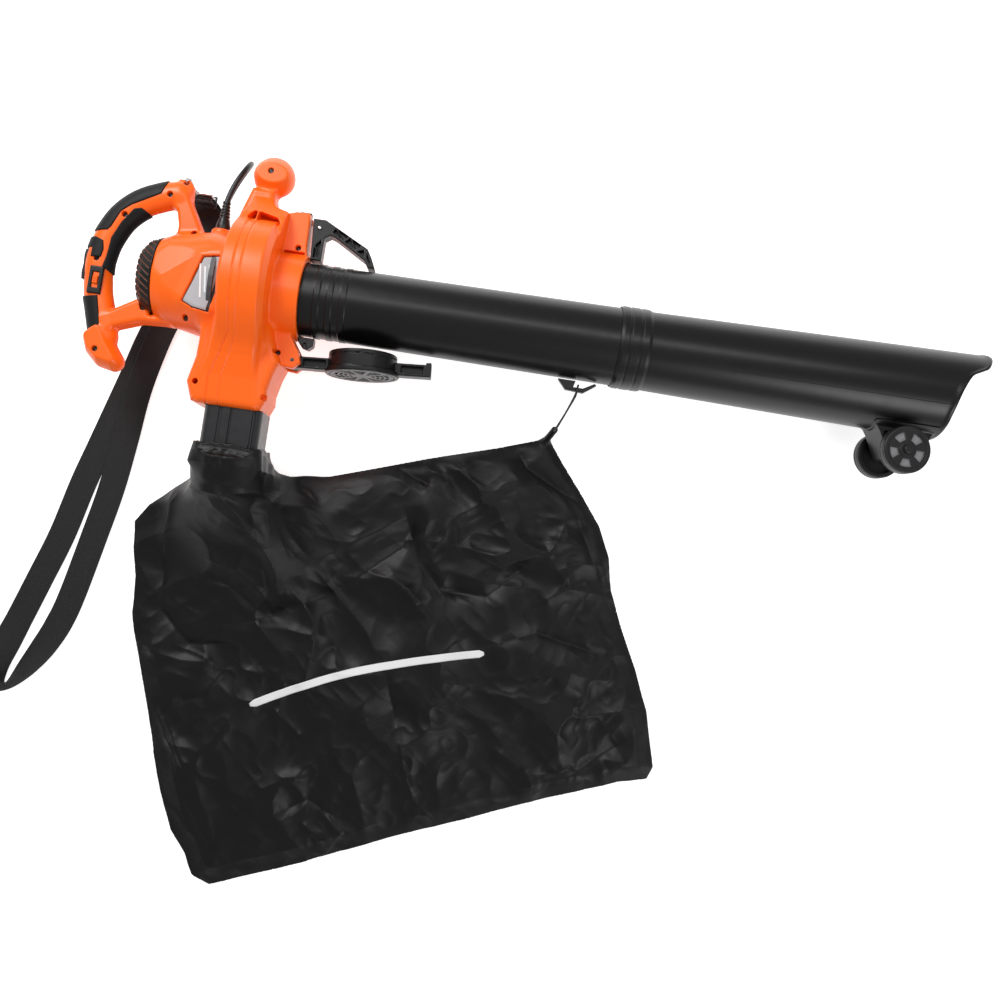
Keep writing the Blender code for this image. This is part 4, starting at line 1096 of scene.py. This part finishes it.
def make_tubes():
    profile = [(0.0600, 0.0468), (0.0600, 0.0493)]
    for x in (0.094, 0.111, 0.129):
        base = 0.0493 + (x - 0.060) * 0.01
        profile += [(x - 0.0010, base), (x, 0.0507), (x + 0.0072, 0.0507), (x + 0.0082, base)]
    profile += [(0.500, 0.0537), (0.5270, 0.0540), (0.5270, 0.0515)]
    upper = lathe("upper_tube_wall", profile, (0, 0, MID), "tube", sides=160, soft=0.0005)
    ready(upper, "machine", "tube_black", "upper_tube")
    ring = [(0.5060, 0.0546), (0.5480, 0.0547), (0.5480, 0.0556), (0.5440, 0.0569)]
    for x in (0.5340, 0.5190):
        ring += [(x + 0.0020, 0.0569), (x + 0.0014, 0.0562), (x - 0.0014, 0.0562), (x - 0.0020, 0.0569)]
    ring += [(0.5100, 0.0569), (0.5060, 0.0556)]
    collar = lathe("coupling_band", ring, (0, 0, MID), "tube", sides=160, soft=0.0005)
    ready(collar, "machine", "tube_black", "coupling_ring")

    mouth = smooth_line([
        (1.0220, 0.0640, 0), (1.0214, 0.0530, 0), (1.0110, 0.0360, 0), (0.9993, 0.0290, 0), (0.9850, 0.0195, 0),
        (0.9730, -0.0040, 0), (0.9675, -0.0300, 0), (0.9670, -0.0460, 0), (0.9662, -0.0640, 0),
    ], 90)[::-1]
    places, heights = np.array([p.x for p in mouth]), np.array([p.y for p in mouth])
    # The angles crowd together at the moulding seam, which is raised a little.
    full = 2 * math.pi
    seam = math.atan2(-0.0200, 0.0500)
    angles = [a for a in (full * k / 160 for k in range(160)) if abs(a - (seam % full)) > 0.04]
    angles = sorted(angles + [(seam + d) % full for d in (-0.030, -0.018, -0.009, 0.0, 0.009, 0.018, 0.030)])
    rings = []
    for angle in angles:
        end = 1.0
        for _ in range(6):
            end = float(np.interp(lower_radius(end) * math.sin(angle), heights, places))
        ring = tube_ring(angle, end)
        if abs(angle - (seam % full)) < 0.004:
            ring[1:17] = [(x, y * 1.008, MID + (z - MID) * 1.008) for x, y, z in ring[1:17]]
        rings.append(ring)
    ready(skin("lower_tube_wall", rings, "tube", loop=True), "machine", "tube_black", "lower_tube")

    def cone(p):
        return np.hypot(p[:, 1], p[:, 2]) - (54.0 + (p[:, 0] - 527.3) * 0.0201)

    outline = [
        (873.6, -54.2), (958.3, -54.6), (950.7, -72.2), (923, -100.5), (911, -104.5), (897, -100.5), (882.2, -67.4),
    ]
    inner = [(888.0, -66.0), (945.0, -66.0), (938.0, -76.0), (919, -92.0), (903, -92.0)]

    def carrier(p):
        strap = np.maximum(np.abs(cone(p) + 1.0) - 2.4, side_distance(p, outline) - 3.0)
        body = smooth_min(prism(outline, -26, 26, 1.8)(p), strap, 3.0)
        body = smooth_max(body, -prism(inner, 21.5, 40, 1.0)(p), 1.0)
        body = smooth_max(body, -prism(inner, -40, -21.5, 1.0)(p), 1.0)
        return largest(body, -(cone(p) + 1.2), 4.3 - np.hypot(p[:, 0] - 911, p[:, 1] + 90.5))

    moulded("wheel_carrier", carrier, (868, -108, -34), (964, -48, 34), 1.4, "tube", ("machine", "tube_black"))


def make_wheels():
    cx, cy = 911.0, -90.5

    def pockets(p):
        """The five grey pockets of a wheel's outer face."""
        x, y = p[:, 0] - cx, p[:, 1] - cy
        radius = np.hypot(x, y)
        fifth = 2 * math.pi / 5
        angle = (np.arctan2(y, x) - 0.30) % fifth - fifth / 2
        side = np.abs(radius * np.sin(angle)) - (radius * 0.34 - 0.2)
        return largest(side, 13.0 - radius, radius - 23.5, 48.6 - p[:, 2])

    def wheel(p):
        radius, z = np.hypot(p[:, 0] - cx, p[:, 1] - cy), p[:, 2]
        body = rounded(radius - 32.4, np.abs(z - 43) - 9.0, 2.2)
        body = smooth_max(body, -largest(radius - 26.5, 10.5 - radius, 51.0 - z), 0.9)
        body = smooth_max(body, -pockets(p), 0.8)
        body = smooth_max(body, -largest(radius - 26.0, 10.0 - radius, z - 44.0), 0.8)
        tread = np.abs(np.abs(z - 43) - 4.5) - 0.6
        return largest(body, -np.maximum(tread, 31.8 - radius), 4.2 - radius)

    for side in ("right", "left"):
        moulded(
            f"{side}_wheel_rim", wheel, (877, -125, 32.5), (945, -56, 53.5), pick(1.0), "wheel",
            (f"{side}_wheel", "wheel_grey", f"{side}_wheel"), mirror=side == "left", second="pocket",
            where=lambda p: np.maximum(pockets(p) - 0.3, p[:, 2] - 50.4),
        )
    half = [(0.0560, 0.0036), (0.0552, 0.0056), (0.0530, 0.0062), (0.0525, 0.0060), (0.0524, 0.0040)]
    profile = [(-x, r) for x, r in half] + half[::-1]
    axle = rod("wheel_axle_rod", profile, (0.911, -0.0905, MID), "wheel", "Z", 48, 0.0004)
    ready(axle, "machine", "wheel_grey", "wheel_axle")


# ---------------------------------------------------------------- latch, hooks, cover


def make_fittings():
    arm_outline = [
        (72.1, 110.9), (89.2, 111.1), (150.7, 80), (157.4, 68.7), (164, 54.4), (154.1, 54.4), (148.4, 63.6),
        (104.5, 88.8), (97.7, 90.7), (90.7, 85.6), (90.1, 54), (75.4, 53.9), (74.7, 68.1),
    ]
    openings = [
        [(101, 95.6), (113, 88.6), (104, 101)], [(107, 100.4), (116, 86.6), (122, 92.4)],
        [(119, 85.2), (131, 78.3), (125, 91.2)], [(128, 89.8), (134, 76.6), (141, 82.8)],
        [(137, 74.8), (147, 69), (146, 77.6)], [(150.2, 74.6), (151.2, 66.4), (157.8, 58.2)],
        [(78.6, 57.5), (86.6, 57.5), (78.6, 72)], [(86.8, 61), (87, 83), (79.6, 74.5)],
    ]

    def arm(p):
        body = prism(arm_outline, -11, 11, 1.5)(p)
        for hole in openings:
            body = smooth_max(body, -np.maximum(side_distance(p, hole), 4.0 - np.abs(p[:, 2])), 0.7)
        return np.maximum(body, 3.0 - np.hypot(p[:, 0] - 82.2, p[:, 1] - 98.8))

    finish = ("machine", "black_plastic", "tube_latch_arm")
    moulded("latch_arm", arm, (70, 52, -12.5), (166, 113, 12.5), pick(1.0), "black", finish)
    made = rod("latch_pin_rod", pin(0.0130, 0.0026), (0.0822, 0.0988, MID), "steel", "Z", 32, 0.0004)
    ready(made, "machine", "steel", "latch_pin")

    outline = [(75.4, -52.6), (96.9, -52.7), (96.7, -62.9), (89.7, -68.9), (81.9, -66.8), (75.3, -58.7)]
    notch = [(80.5, -70), (84.0, -60.5), (86.5, -60.5), (90.0, -70)]

    def hook(p):
        cut = np.maximum(side_distance(p, notch), 5.5 - np.abs(p[:, 2]))
        return smooth_max(prism(outline, -9, 9, 1.5)(p), -cut, 0.8)

    finish = ("machine", "duct_grey", "tube_lock_hook")
    moulded("tube_hook", hook, (74, -71, -10), (98, -51, 10), 0.9, "duct", finish)
    bag_outline = [
        (433.3, -55.9), (445.5, -69.6), (470.6, -71.3), (487.8, -58.8), (485.3, -56.1), (469.7, -65), (456.1, -64.9),
        (458.4, -56),
    ]
    finish = ("machine", "tube_black", "bag_hook")
    moulded("bag_hook_bar", prism(bag_outline, -5, 5, 1.2), (432, -73, -6), (489, -54, 6), 0.9, "tube", finish)


HINGE = (74.7, -88.0)
COVER_TILT = math.radians(4.5)
COVER_MIDDLE = 92.0  # distance of the cover's drum from its hinge


def cover_place(p):
    """Place along the cover from its hinge, across its plate, and sideways."""
    x, y = p[:, 0] - HINGE[0], p[:, 1] - HINGE[1]
    c, s = math.cos(COVER_TILT), math.sin(COVER_TILT)
    return x * c + y * s, -x * s + y * c, p[:, 2]


def cover_at(p):
    u, n, w = cover_place(p)
    tall, wide = np.abs(n), np.abs(w)
    outline = [(-8, -8), (-4, 8), (180, 8), (186, 10), (186, -9), (80, -9), (10, -8)]
    bar = rounded(flat_distance(u, n, outline), wide - 11.5, 1.2)
    for middle in (28.0, 160.0):
        bar = smooth_max(bar, -largest(tall - 4.6, np.abs(u - middle) - 15.0, 5.0 - wide), 0.8)
    tab = block((178.5, -9.0, -11.5), (186.0, 11.0, 11.5), 1.2)(np.stack([u, n, w], 1))
    knuckle = rounded(np.hypot(u, n) - 9.0, wide - 11.5, 1.0)
    arm = np.minimum(smooth_min(bar, knuckle, 1.5), tab)
    radius = np.hypot(u - COVER_MIDDLE, w)
    drum = rounded(radius - 46.5, np.abs(n - 6.0) - 12.0, 2.2)
    drum = smooth_max(drum, -np.maximum(radius - 42.5, 2.0 - n), 0.9)
    drum = np.maximum(drum, -np.maximum(np.abs(n - 12.0) - 0.6, 45.8 - radius))
    flange = rounded(radius - 50.0, np.abs(n + 8.5) - 3.5, 1.5)
    body = np.minimum(smooth_min(drum, flange, 1.2), smooth_min(arm, drum, 1.0))
    # Slots in rings round the middle of the outer face, and a groove outside them.
    spoke = np.abs(np.sin(np.arctan2(w, u - COVER_MIDDLE) * 5.0)) * radius / 5.0 - 1.4
    slot = np.abs((radius / 6.4) % 1.0 - 0.5) * 6.4 - 1.5
    inside = np.maximum(np.maximum(slot, 1.2 - spoke), np.maximum(radius - 38.4, 6.4 - radius))
    grille = np.maximum(np.minimum(np.abs(radius - 44.0) - 1.1, inside), n + 10.2)
    return smooth_max(np.maximum(body, 3.0 - np.hypot(u, n)), -grille, 0.5)


def ring_face(p):
    """Negative on the grey ring printed round the cover's grille."""
    u, n, w = cover_place(p)
    return np.maximum(np.abs(np.hypot(u - COVER_MIDDLE, w) - 44.0) - 2.6, n + 9.6)


def make_cover():
    moulded(
        "intake_cover_body", cover_at, (62, -116, -52), (266, -46, 52), pick(1.3), "black",
        ("intake_cover", "black_plastic", "intake_cover"), second="pocket", where=ring_face,
    )
    made = rod("hinge_pin_rod", pin(0.0245, 0.0026), (HINGE[0] * MM, HINGE[1] * MM, MID), "screw", "Z", 32, 0.0004)
    ready(made, "machine", "steel", "cover_hinge_pin")


# ---------------------------------------------------------------- shoulder strap


LUG_X, LUG_BACK = -0.1054, 0.1368
UPPER, LOWER = 0.0052, 0.0016        # heights of the two runs over the floor
# Middle of the webbing: X, Y, height, and how far its width is turned up from the floor in degrees.
STRAP_STATIONS = [
    (LUG_X, LUG_BACK - 0.0034, 0.056, 0), (LUG_X, LUG_BACK - 0.0036, 0.03, 0),
    (LUG_X - 0.001, LUG_BACK - 0.009, 0.0115, 0), (-0.0969, 0.1153, UPPER, 0), (-0.104, 0.0832, UPPER, 0),
    (-0.116, 0.0333, UPPER, 0), (-0.1289, -0.0164, UPPER, 0), (-0.1447, -0.0708, UPPER, 0),
    (-0.1597, -0.1446, UPPER, 0), (-0.1672, -0.222, UPPER, 0), (-0.1755, -0.2912, 0.0046, 0),
    (-0.1891, -0.3618, 0.003, 0), (-0.2075, -0.4521, LOWER, 0), (-0.22, -0.4949, LOWER, 0),
    (-0.2344, -0.5289, 0.005, 12), (-0.2501, -0.5589, 0.0125, 35), (-0.2654, -0.5811, 0.0185, 62),
    (-0.2801, -0.5889, 0.0205, 82), (-0.2906, -0.5787, 0.0185, 62), (-0.2924, -0.5566, 0.0125, 35),
    (-0.285, -0.5262, 0.005, 12), (-0.2753, -0.4941, LOWER, 0), (-0.2556, -0.4326, LOWER, 0),
    (-0.2348, -0.3659, LOWER, 0), (-0.2174, -0.2899, LOWER, 0), (-0.2011, -0.2309, LOWER, 0),
    (-0.1827, -0.1637, LOWER, 0), (-0.171, -0.1207, LOWER, 0), (-0.1582, -0.0706, LOWER, 0),
    (-0.1407, -0.0162, LOWER, 0), (-0.125, 0.0334, LOWER, 0), (-0.1092, 0.0833, LOWER, 0),
    (-0.0982, 0.1214, 0.0018, 0), (LUG_X - 0.001, LUG_BACK - 0.0005, 0.0072, 0), (LUG_X, LUG_BACK + 0.0034, 0.024, 0),
    (LUG_X, LUG_BACK + 0.0036, 0.056, 0), (LUG_X, LUG_BACK, 0.0605, 0),
]
WEB_HALF, WEB_THICK = 0.0190, 0.0011
# A quarter of the webbing's section, with its thicker woven edge, as shares of half its width and thickness.
WEB_QUARTER = [(1, 0), (0.985, 0.7), (0.95, 1), (0.84, 1), (0.80, 0.82), (0.4, 0.82)]
WEB_SECTION = [(-w, -h) for w, h in WEB_QUARTER] + [(w, -h) for w, h in WEB_QUARTER[:0:-1]]
WEB_SECTION += [(-w, -h) for w, h in WEB_SECTION]


def strap_sides():
    """Width direction at each station of the webbing, turned over in step along the run."""
    count = len(STRAP_STATIONS)
    sides = []
    for i, (_, _, _, roll) in enumerate(STRAP_STATIONS):
        before = Vector(STRAP_STATIONS[i - 1][:3])
        after = Vector(STRAP_STATIONS[(i + 1) % count][:3])
        along = (after - before).normalized()
        flat = Vector((-along.y, along.x, 0.0))
        if flat.length < 0.6 or i in (0, 1) or i >= count - 3:
            flat = Vector((1.0, 0.0, 0.0))
        flat = flat.normalized()
        side = flat * math.cos(math.radians(roll)) + Vector((0, 0, 1)) * math.sin(math.radians(roll))
        side = (side - along * side.dot(along)).normalized()
        if sides and side.dot(sides[-1]) < 0:
            side = -side
        sides.append(side)
    return sides


def make_strap():
    places = [Vector(s[:3]) for s in STRAP_STATIONS]
    sides = strap_sides()
    count, per = len(places), 6
    rings = []
    for i in range(count):
        a, b = places[i - 1], places[i]
        c, d = places[(i + 1) % count], places[(i + 2) % count]
        turned = sides[(i + 1) % count]
        if turned.dot(sides[i]) < 0:
            turned = -turned
        for k in range(per):
            t = k / per
            spot = spline(a, b, c, d, t)
            ahead = 0.5 * ((c - a) + 2 * (2 * a - 5 * b + 4 * c - d) * t + 3 * (3 * b - a - 3 * c + d) * t * t)
            side = sides[i].lerp(turned, t)
            ahead = ahead.normalized()
            side = (side - ahead * side.dot(ahead)).normalized()
            over = ahead.cross(side)
            ring = [spot + side * (w * WEB_HALF) + over * (h * WEB_THICK) for w, h in WEB_SECTION]
            rings.append([(q.x, q.y, max(q.z, 0.0004)) for q in ring])
    thing = ready(skin("strap_web", rings, "webbing"), "machine", "strap_fabric", "strap_webbing")


def make_strap_metal():
    x0, back = LUG_X / MM, LUG_BACK / MM
    turns = [2 * math.pi * i / 48 for i in range(48)]
    oval = [(back + 5.8 * math.cos(angle), -9.0 + 19.0 * math.sin(angle)) for angle in turns]
    oval.append(oval[0])

    def buckle(low, high, deep, hole_low, hole_high, hole_deep, r):
        """Flat frame round the webbing, with heights over the floor."""
        low, high, hole_low, hole_high = (z - MID_MM for z in (low, high, hole_low, hole_high))
        outer = block((x0 - 23.5, back - deep, low), (x0 + 23.5, back + deep, high), 1.4)
        window = block((x0 - 20.5, back - hole_deep, hole_low), (x0 + 20.5, back + hole_deep, hole_high), r)
        return lambda p: smooth_max(outer(p), -window(p), 0.6)

    bail = buckle(50, 67.5, 1.8, 53, 64.5, 9, 0.8)
    lever = block((x0 - 1.2, back + 4.0, -14.0), (x0 + 1.2, back + 9.0, -8.0), 0.8)

    def hook(p):
        gap, _ = path_distance(p[:, 1], p[:, 2], oval)
        ring = np.hypot(gap, p[:, 0] - x0) - 1.7
        z = p[:, 2] + MID_MM
        across = np.hypot(p[:, 0] - x0, p[:, 1] - back)
        shank = rounded(across - (4.0 - (z - 64.0) * 0.07), np.abs(z - 71.0) - 7.0, 0.8)
        return np.minimum(smooth_min(smooth_min(ring, shank, 1.5), bail(p), 1.2), lever(p))

    finish = ("machine", "steel", "strap_snap_hook")
    moulded("snap_hook", hook, (x0 - 25, back - 10, -57), (x0 + 25, back + 11, 13), 0.8, "steel", finish)
    slide = buckle(36, 39.5, 7.5, 30, 50, 5.5, 0.6)
    finish = ("machine", "black_plastic", "strap_slide")
    moulded("strap_slide_bar", slide, (x0 - 25, back - 9, -71), (x0 + 25, back + 9, -64), 0.8, "black", finish)


# ---------------------------------------------------------------- bag


BAG_OUTLINE = [
    (-86, -281), (-115.3, -305.3), (-134.3, -332.1), (-121.5, -410.8), (-118.5, -461.6), (-106.1, -505),
    (-73.1, -603.1), (-58, -655.5), (-39.1, -704.3), (-16.4, -756.4), (8.5, -787.4), (23.2, -814.8), (49.6, -827.6),
    (161.3, -786.3), (267.8, -742.4), (364.2, -704.8), (511, -648), (611.3, -611.5), (652.2, -602.3), (659.2, -582.9),
    (638.3, -502.5), (614.6, -444), (588.5, -390.8), (563.7, -336.6), (554.5, -290.4), (534.7, -244.9),
    (502.3, -202.3), (467.9, -160), (441.7, -125.2), (404, -138.2), (363.5, -152.1), (268.2, -181.4), (188.7, -208.4),
    (129.1, -228.3), (96, -232), (78, -237), (66, -236), (58, -233), (-40, -234), (-45, -251), (-62, -262),
]
# Creases in the cloth: height in millimetres (a valley is negative), half width, and the line it follows.
CREASES = [
    (-9, 16, [(16, -464), (74, -442), (164, -396), (252, -316), (262, -266)]),
    (-6, 15, [(246, -262), (280, -336), (314, -370), (362, -368)]),
    (-7, 13, [(438, -314), (382, -370), (314, -372)]),
    (-6, 9, [(392, -442), (462, -412), (562, -432)]),
    (7.5, 13, [(412, -506), (540, -524), (640, -494)]),
    (-6.5, 14, [(484, -616), (550, -598), (612, -546)]),
    (-5, 11, [(256, -502), (292, -612), (326, -656)]),
    (6, 10, [(276, -560), (300, -630), (318, -668)]),
    (6.5, 15, [(196, -620), (232, -658), (262, -734)]),
    (5.5, 16, [(102, -708), (162, -644), (196, -620)]),
    (-5, 8, [(136, -712), (170, -690), (210, -710)]),
    (4.5, 8, [(104, -570), (146, -602)]),
    (6, 9, [(-68, -584), (-12, -670), (44, -766)]),
    (5, 8, [(-46, -604), (14, -696), (56, -792)]),
    (-6, 12, [(-56, -590), (2, -686), (52, -784)]),
    (-7, 12, [(-86, -354), (-76, -452), (-30, -494), (34, -486)]),
    (7, 12, [(-24, -238), (8, -288), (52, -320), (70, -404), (82, -430)]),
    (-7.5, 11, [(60, -250), (44, -294), (62, -364), (80, -440)]),
    (7, 11, [(78, -248), (66, -294), (86, -364), (94, -430)]),
    (6, 11, [(-18, -368), (28, -380), (76, -418)]),
    (-6, 12, [(-20, -392), (20, -404), (66, -436)]),
    (6, 11, [(-76, -270), (-82, -348), (-80, -396)]),
    (-4.5, 10, [(226, -202), (278, -222)]),
    (-6.5, 12, [(394, -144), (414, -176), (498, -216)]),
    (5.5, 12, [(322, -262), (372, -226), (414, -184)]),
    (5, 11, [(322, -262), (328, -304), (398, -310), (440, -298)]),
    (-5.5, 12, [(494, -228), (514, -268), (548, -338), (588, -400)]),
    (5.5, 11, [(482, -248), (464, -296), (420, -296)]),
    (5, 12, [(490, -306), (500, -344), (460, -368)]),
    (4, 9, [(262, -372), (284, -398)]),
    (6, 14, [(422, -586), (468, -604), (500, -652)]),
    (4.5, 12, [(-94, -512), (-36, -518), (10, -516)]),
    (-5.5, 14, [(-40, -580), (0, -566), (34, -514)]),
    (5, 12, [(166, -722), (216, -750)]),
]
# Finer crumpling: distance between folds, height and seed.
CRUMPLES = ((125.0, 6.0, 3), (70.0, 4.0, 4), (40.0, 1.6, 5), (21.0, 0.5, 6))
# Neck of the bag: Y, left, right, low, high and corner radius, with heights from the middle plane.
NECK_SECTIONS = [
    (-212, -34.5, 53.5, -41.5, 41.5, 15), (-226, -36.5, 55.5, -43, 42, 16), (-242, -40, 59, -48, 39, 20),
    (-268, -34, 52, -60, 14, 26),
]


def noise(x, y, pitch, seed):
    """Smooth uneven values from 0 to 1, with one free value at each crossing of a square net."""
    turn = 0.9 * seed
    u = (x * math.cos(turn) + y * math.sin(turn)) / pitch + 17.3 * seed
    v = (y * math.cos(turn) - x * math.sin(turn)) / pitch - 9.1 * seed
    i, j = np.floor(u), np.floor(v)
    a, b = u - i, v - j
    a, b = a * a * a * (a * (6 * a - 15) + 10), b * b * b * (b * (6 * b - 15) + 10)

    def at(di, dj):
        value = np.sin((i + di) * 127.1 + (j + dj) * 311.7 + seed * 74.7) * 43758.5453
        return value - np.floor(value)

    return (at(0, 0) * (1 - a) + at(1, 0) * a) * (1 - b) + (at(0, 1) * (1 - a) + at(1, 1) * a) * b


def creases(x, y):
    """Height of the cloth's folds: the named creases, and finer crumpling between them."""
    total = np.zeros(x.shape)
    for height, width, line in CREASES:
        gap, share = path_distance(x, y, line)
        fade = np.clip(np.minimum(share, 1 - share) * 5.0 + 0.35, 0.0, 1.0)
        total += height * fade * np.exp(-np.sqrt((gap / width) ** 2 + 0.02))
    warp_x = x + 46.0 * (noise(x, y, 120.0, 1) - 0.5) + 0.35 * y
    warp_y = y + 46.0 * (noise(x, y, 120.0, 2) - 0.5) - 0.20 * x
    for pitch, height, seed in CRUMPLES:
        level = noise(warp_x, warp_y, pitch, seed)
        total += height * (1.0 - 2.0 * np.sqrt((2.0 * level - 1.0) ** 2 + 0.002))
    return total


def neck_hill(x, y):
    """Height of the cloth that falls from the duct's mouth to the floor."""
    back = -y
    top = np.interp(back, [234, 262, 300, 345, 400, 460, 540], [145, 137, 108, 70, 38, 20, 8])
    middle = np.interp(back, [236.0, 300.0, 400.0, 460.0], [9.0, 10.0, 24.0, 34.0])
    half = np.interp(back, [236.0, 262.0, 300.0, 345.0, 400.0, 460.0], [49.0, 54.0, 70.0, 88.0, 104.0, 116.0])
    power = np.interp(back, [236.0, 300.0, 460.0], [5.0, 3.0, 2.4])
    return top / (1.0 + (np.abs(x - middle) / half) ** power)


def bag_top(x, y):
    """Height of the empty bag's upper cloth above the floor."""
    inward = np.maximum(-flat_distance(x, y, BAG_OUTLINE), 0.0)
    puff = 12.5 * (1 - np.exp(-inward / 12.0))
    edge = np.clip(inward / 26.0, 0.10, 1.0)
    fold = 1.25 * creases(x, y)
    base = 3.0 + puff + np.clip(fold, -12.5, 11.0) * edge
    flat = np.clip(smooth_max(base, 3.0 + 4.0 * edge, 3.0), 2.2, 27.5)
    down = np.clip((-y - 240.0) / 40.0, 0.0, 1.0)
    return smooth_max(flat, neck_hill(x, y) + np.clip(fold, -12.0, 12.0) * down, 10.0)


def bag_body(p):
    x, y = p[:, 0], p[:, 1]
    height = p[:, 2] + MID_MM
    over = (height - bag_top(x, y)) * (0.72 - 0.34 * np.clip((neck_hill(x, y) - 18.0) / 40.0, 0.0, 1.0))
    under = np.interp(-y, [234.0, 262.0, 300.0, 330.0], [56.0, 36.0, 10.0, 0.0])
    body = smooth_max(smooth_max(over, flat_distance(x, y, BAG_OUTLINE) + 1.2, 1.5), 0.7 - height, 1.0)
    return smooth_max(body, (under * np.clip((62.0 - np.abs(x - 9.0)) / 16.0, 0.0, 1.0) - height) * 0.6, 4.0)


def bag_neck(p):
    """The bag's mouth round the duct, with gathers that run down from its hem."""
    x, y, z = p.T
    ys = [-s[0] for s in NECK_SECTIONS]
    left, right, low, high, r = (np.interp(-y, ys, [s[k] for s in NECK_SECTIONS]) for k in range(1, 6))
    across, upward = np.abs(x - (left + right) / 2), np.abs(z - (low + high) / 2)
    tube = rounded(across - (right - left) / 2, upward - (high - low) / 2, r)
    gather = np.sin(x * 0.30 + 1.6 * np.sin(x * 0.09)) * 1.6 * np.exp(-np.abs(y + 240.0) / 22.0)
    side = np.sin(z * 0.22 + 1.0) * 1.4 * np.exp(-np.abs(y + 240.0) / 30.0)
    mouth = -213.5 + 1.8 * np.sin(x * 0.11 + 0.6) + 1.2 * np.sin(z * 0.15)
    hem = np.maximum(np.abs(tube + 1.2) - 1.5, np.abs(y - mouth + 5.0) - 4.0)
    body = largest((tube - gather - side) * 0.72, y - mouth, -268.0 - y)
    return smooth_max(smooth_min(body, hem, 2.0), 0.7 - (z + MID_MM), 1.0)


def string_loop(p):
    """The sewn loop at the bag's corner, which the string runs through."""
    start, end = np.array([436.0, -133.0, 7.0 - MID_MM]), np.array([446.0, -116.5, 28.0 - MID_MM])
    share = np.clip((p - start) @ (end - start) / ((end - start) @ (end - start)), 0.0, 1.0)
    return np.linalg.norm(p - start - share[:, None] * (end - start), axis=1) - 5.0


def duct_room(p):
    return np.maximum(rounded(np.abs(p[:, 0] - 9.5) - 39.2, np.abs(p[:, 2]) - 36.8, 13.5), -236.5 - p[:, 1])


def above_floor(old, part, _):
    return np.maximum(old, part)


def make_bag():
    field = Field()
    field.add(bag_body, (-140, -835, -105), (665, -120, -76))
    field.add(bag_body, (-140, -540, -80), (240, -232, 47))
    field.add(bag_neck, (-60, -268, -70), (80, -208, 47), 20.0)
    field.add(string_loop, (430, -139, -104), (452, -111, -70), 7.0)
    field.cut(duct_room, (-30, -237, -37), (49, -200, 37))
    field.add(lambda p: 0.6 - (p[:, 2] + MID_MM), (-1e5,) * 3, (1e5,) * 3, mode=above_floor)
    thing = moulded(
        "collection_bag_cloth", field, (-142, -836, -106), (668, -106, 50), pick(2.6), "bag",
        ("machine", "bag_fabric", "collection_bag"),
    )


def make_print():
    """A plain curved band printed across the bag."""
    route = [(70, -568, 0), (136, -534, 0), (200, -506, 0), (272, -482, 0), (332, -465, 0), (390, -452, 0)]
    line = smooth_line(route, 90)
    last = len(line) - 1
    rings = []
    for i, spot in enumerate(line):
        ahead = (line[min(i + 1, last)] - line[max(i - 1, 0)]).normalized()
        side = Vector((-ahead.y, ahead.x, 0.0))
        half = 5.5 * min(i / 3.0 + 0.4, 1.0, (last - i) / 3.0 + 0.4)
        spots = np.array([tuple(spot + side * (a * half)) for a in np.linspace(-1.0, 1.0, 7)])
        spots[:, 2] = bag_top(spots[:, 0], spots[:, 1])
        ring = [(x, y, z + 0.45) for x, y, z in spots] + [(x, y, z - 0.6) for x, y, z in spots[::-1]]
        rings.append([(x * MM, y * MM, z * MM) for x, y, z in ring])
    ready(skin("bag_print_band", rings, "print"), "machine", "bag_fabric")


# ---------------------------------------------------------------- inner parts kept from the CAD frame


INNER = {
    "steel": ["motor_shaft", "armature", "impeller_nut", "stator_core", "rear_bearing", "front_bearing"],
    "copper": ["commutator", "field_coil_upper", "field_coil_lower", "brush_holder_upper", "brush_holder_lower"],
    "fan": ["impeller", "fan_bulkhead"],
    "black": ["motor_end_bracket", "switch_module", "interlock_switch"],
    "board": ["speed_control_board"],
}


def dress_inner_parts():
    for key, names in INNER.items():
        for name in names:
            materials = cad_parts[name].data.materials
            materials.clear()
            materials.append(LOOK[key])


# ---------------------------------------------------------------- main


make_camera()
make_cords()
make_studio()
make_housing()
make_screws()
make_grips()
make_switches()
make_label()
make_vent_cap()
make_duct()
make_tubes()
make_wheels()
make_fittings()
make_cover()
make_strap_metal()
make_strap()
make_bag()
make_print()
dress_inner_parts()
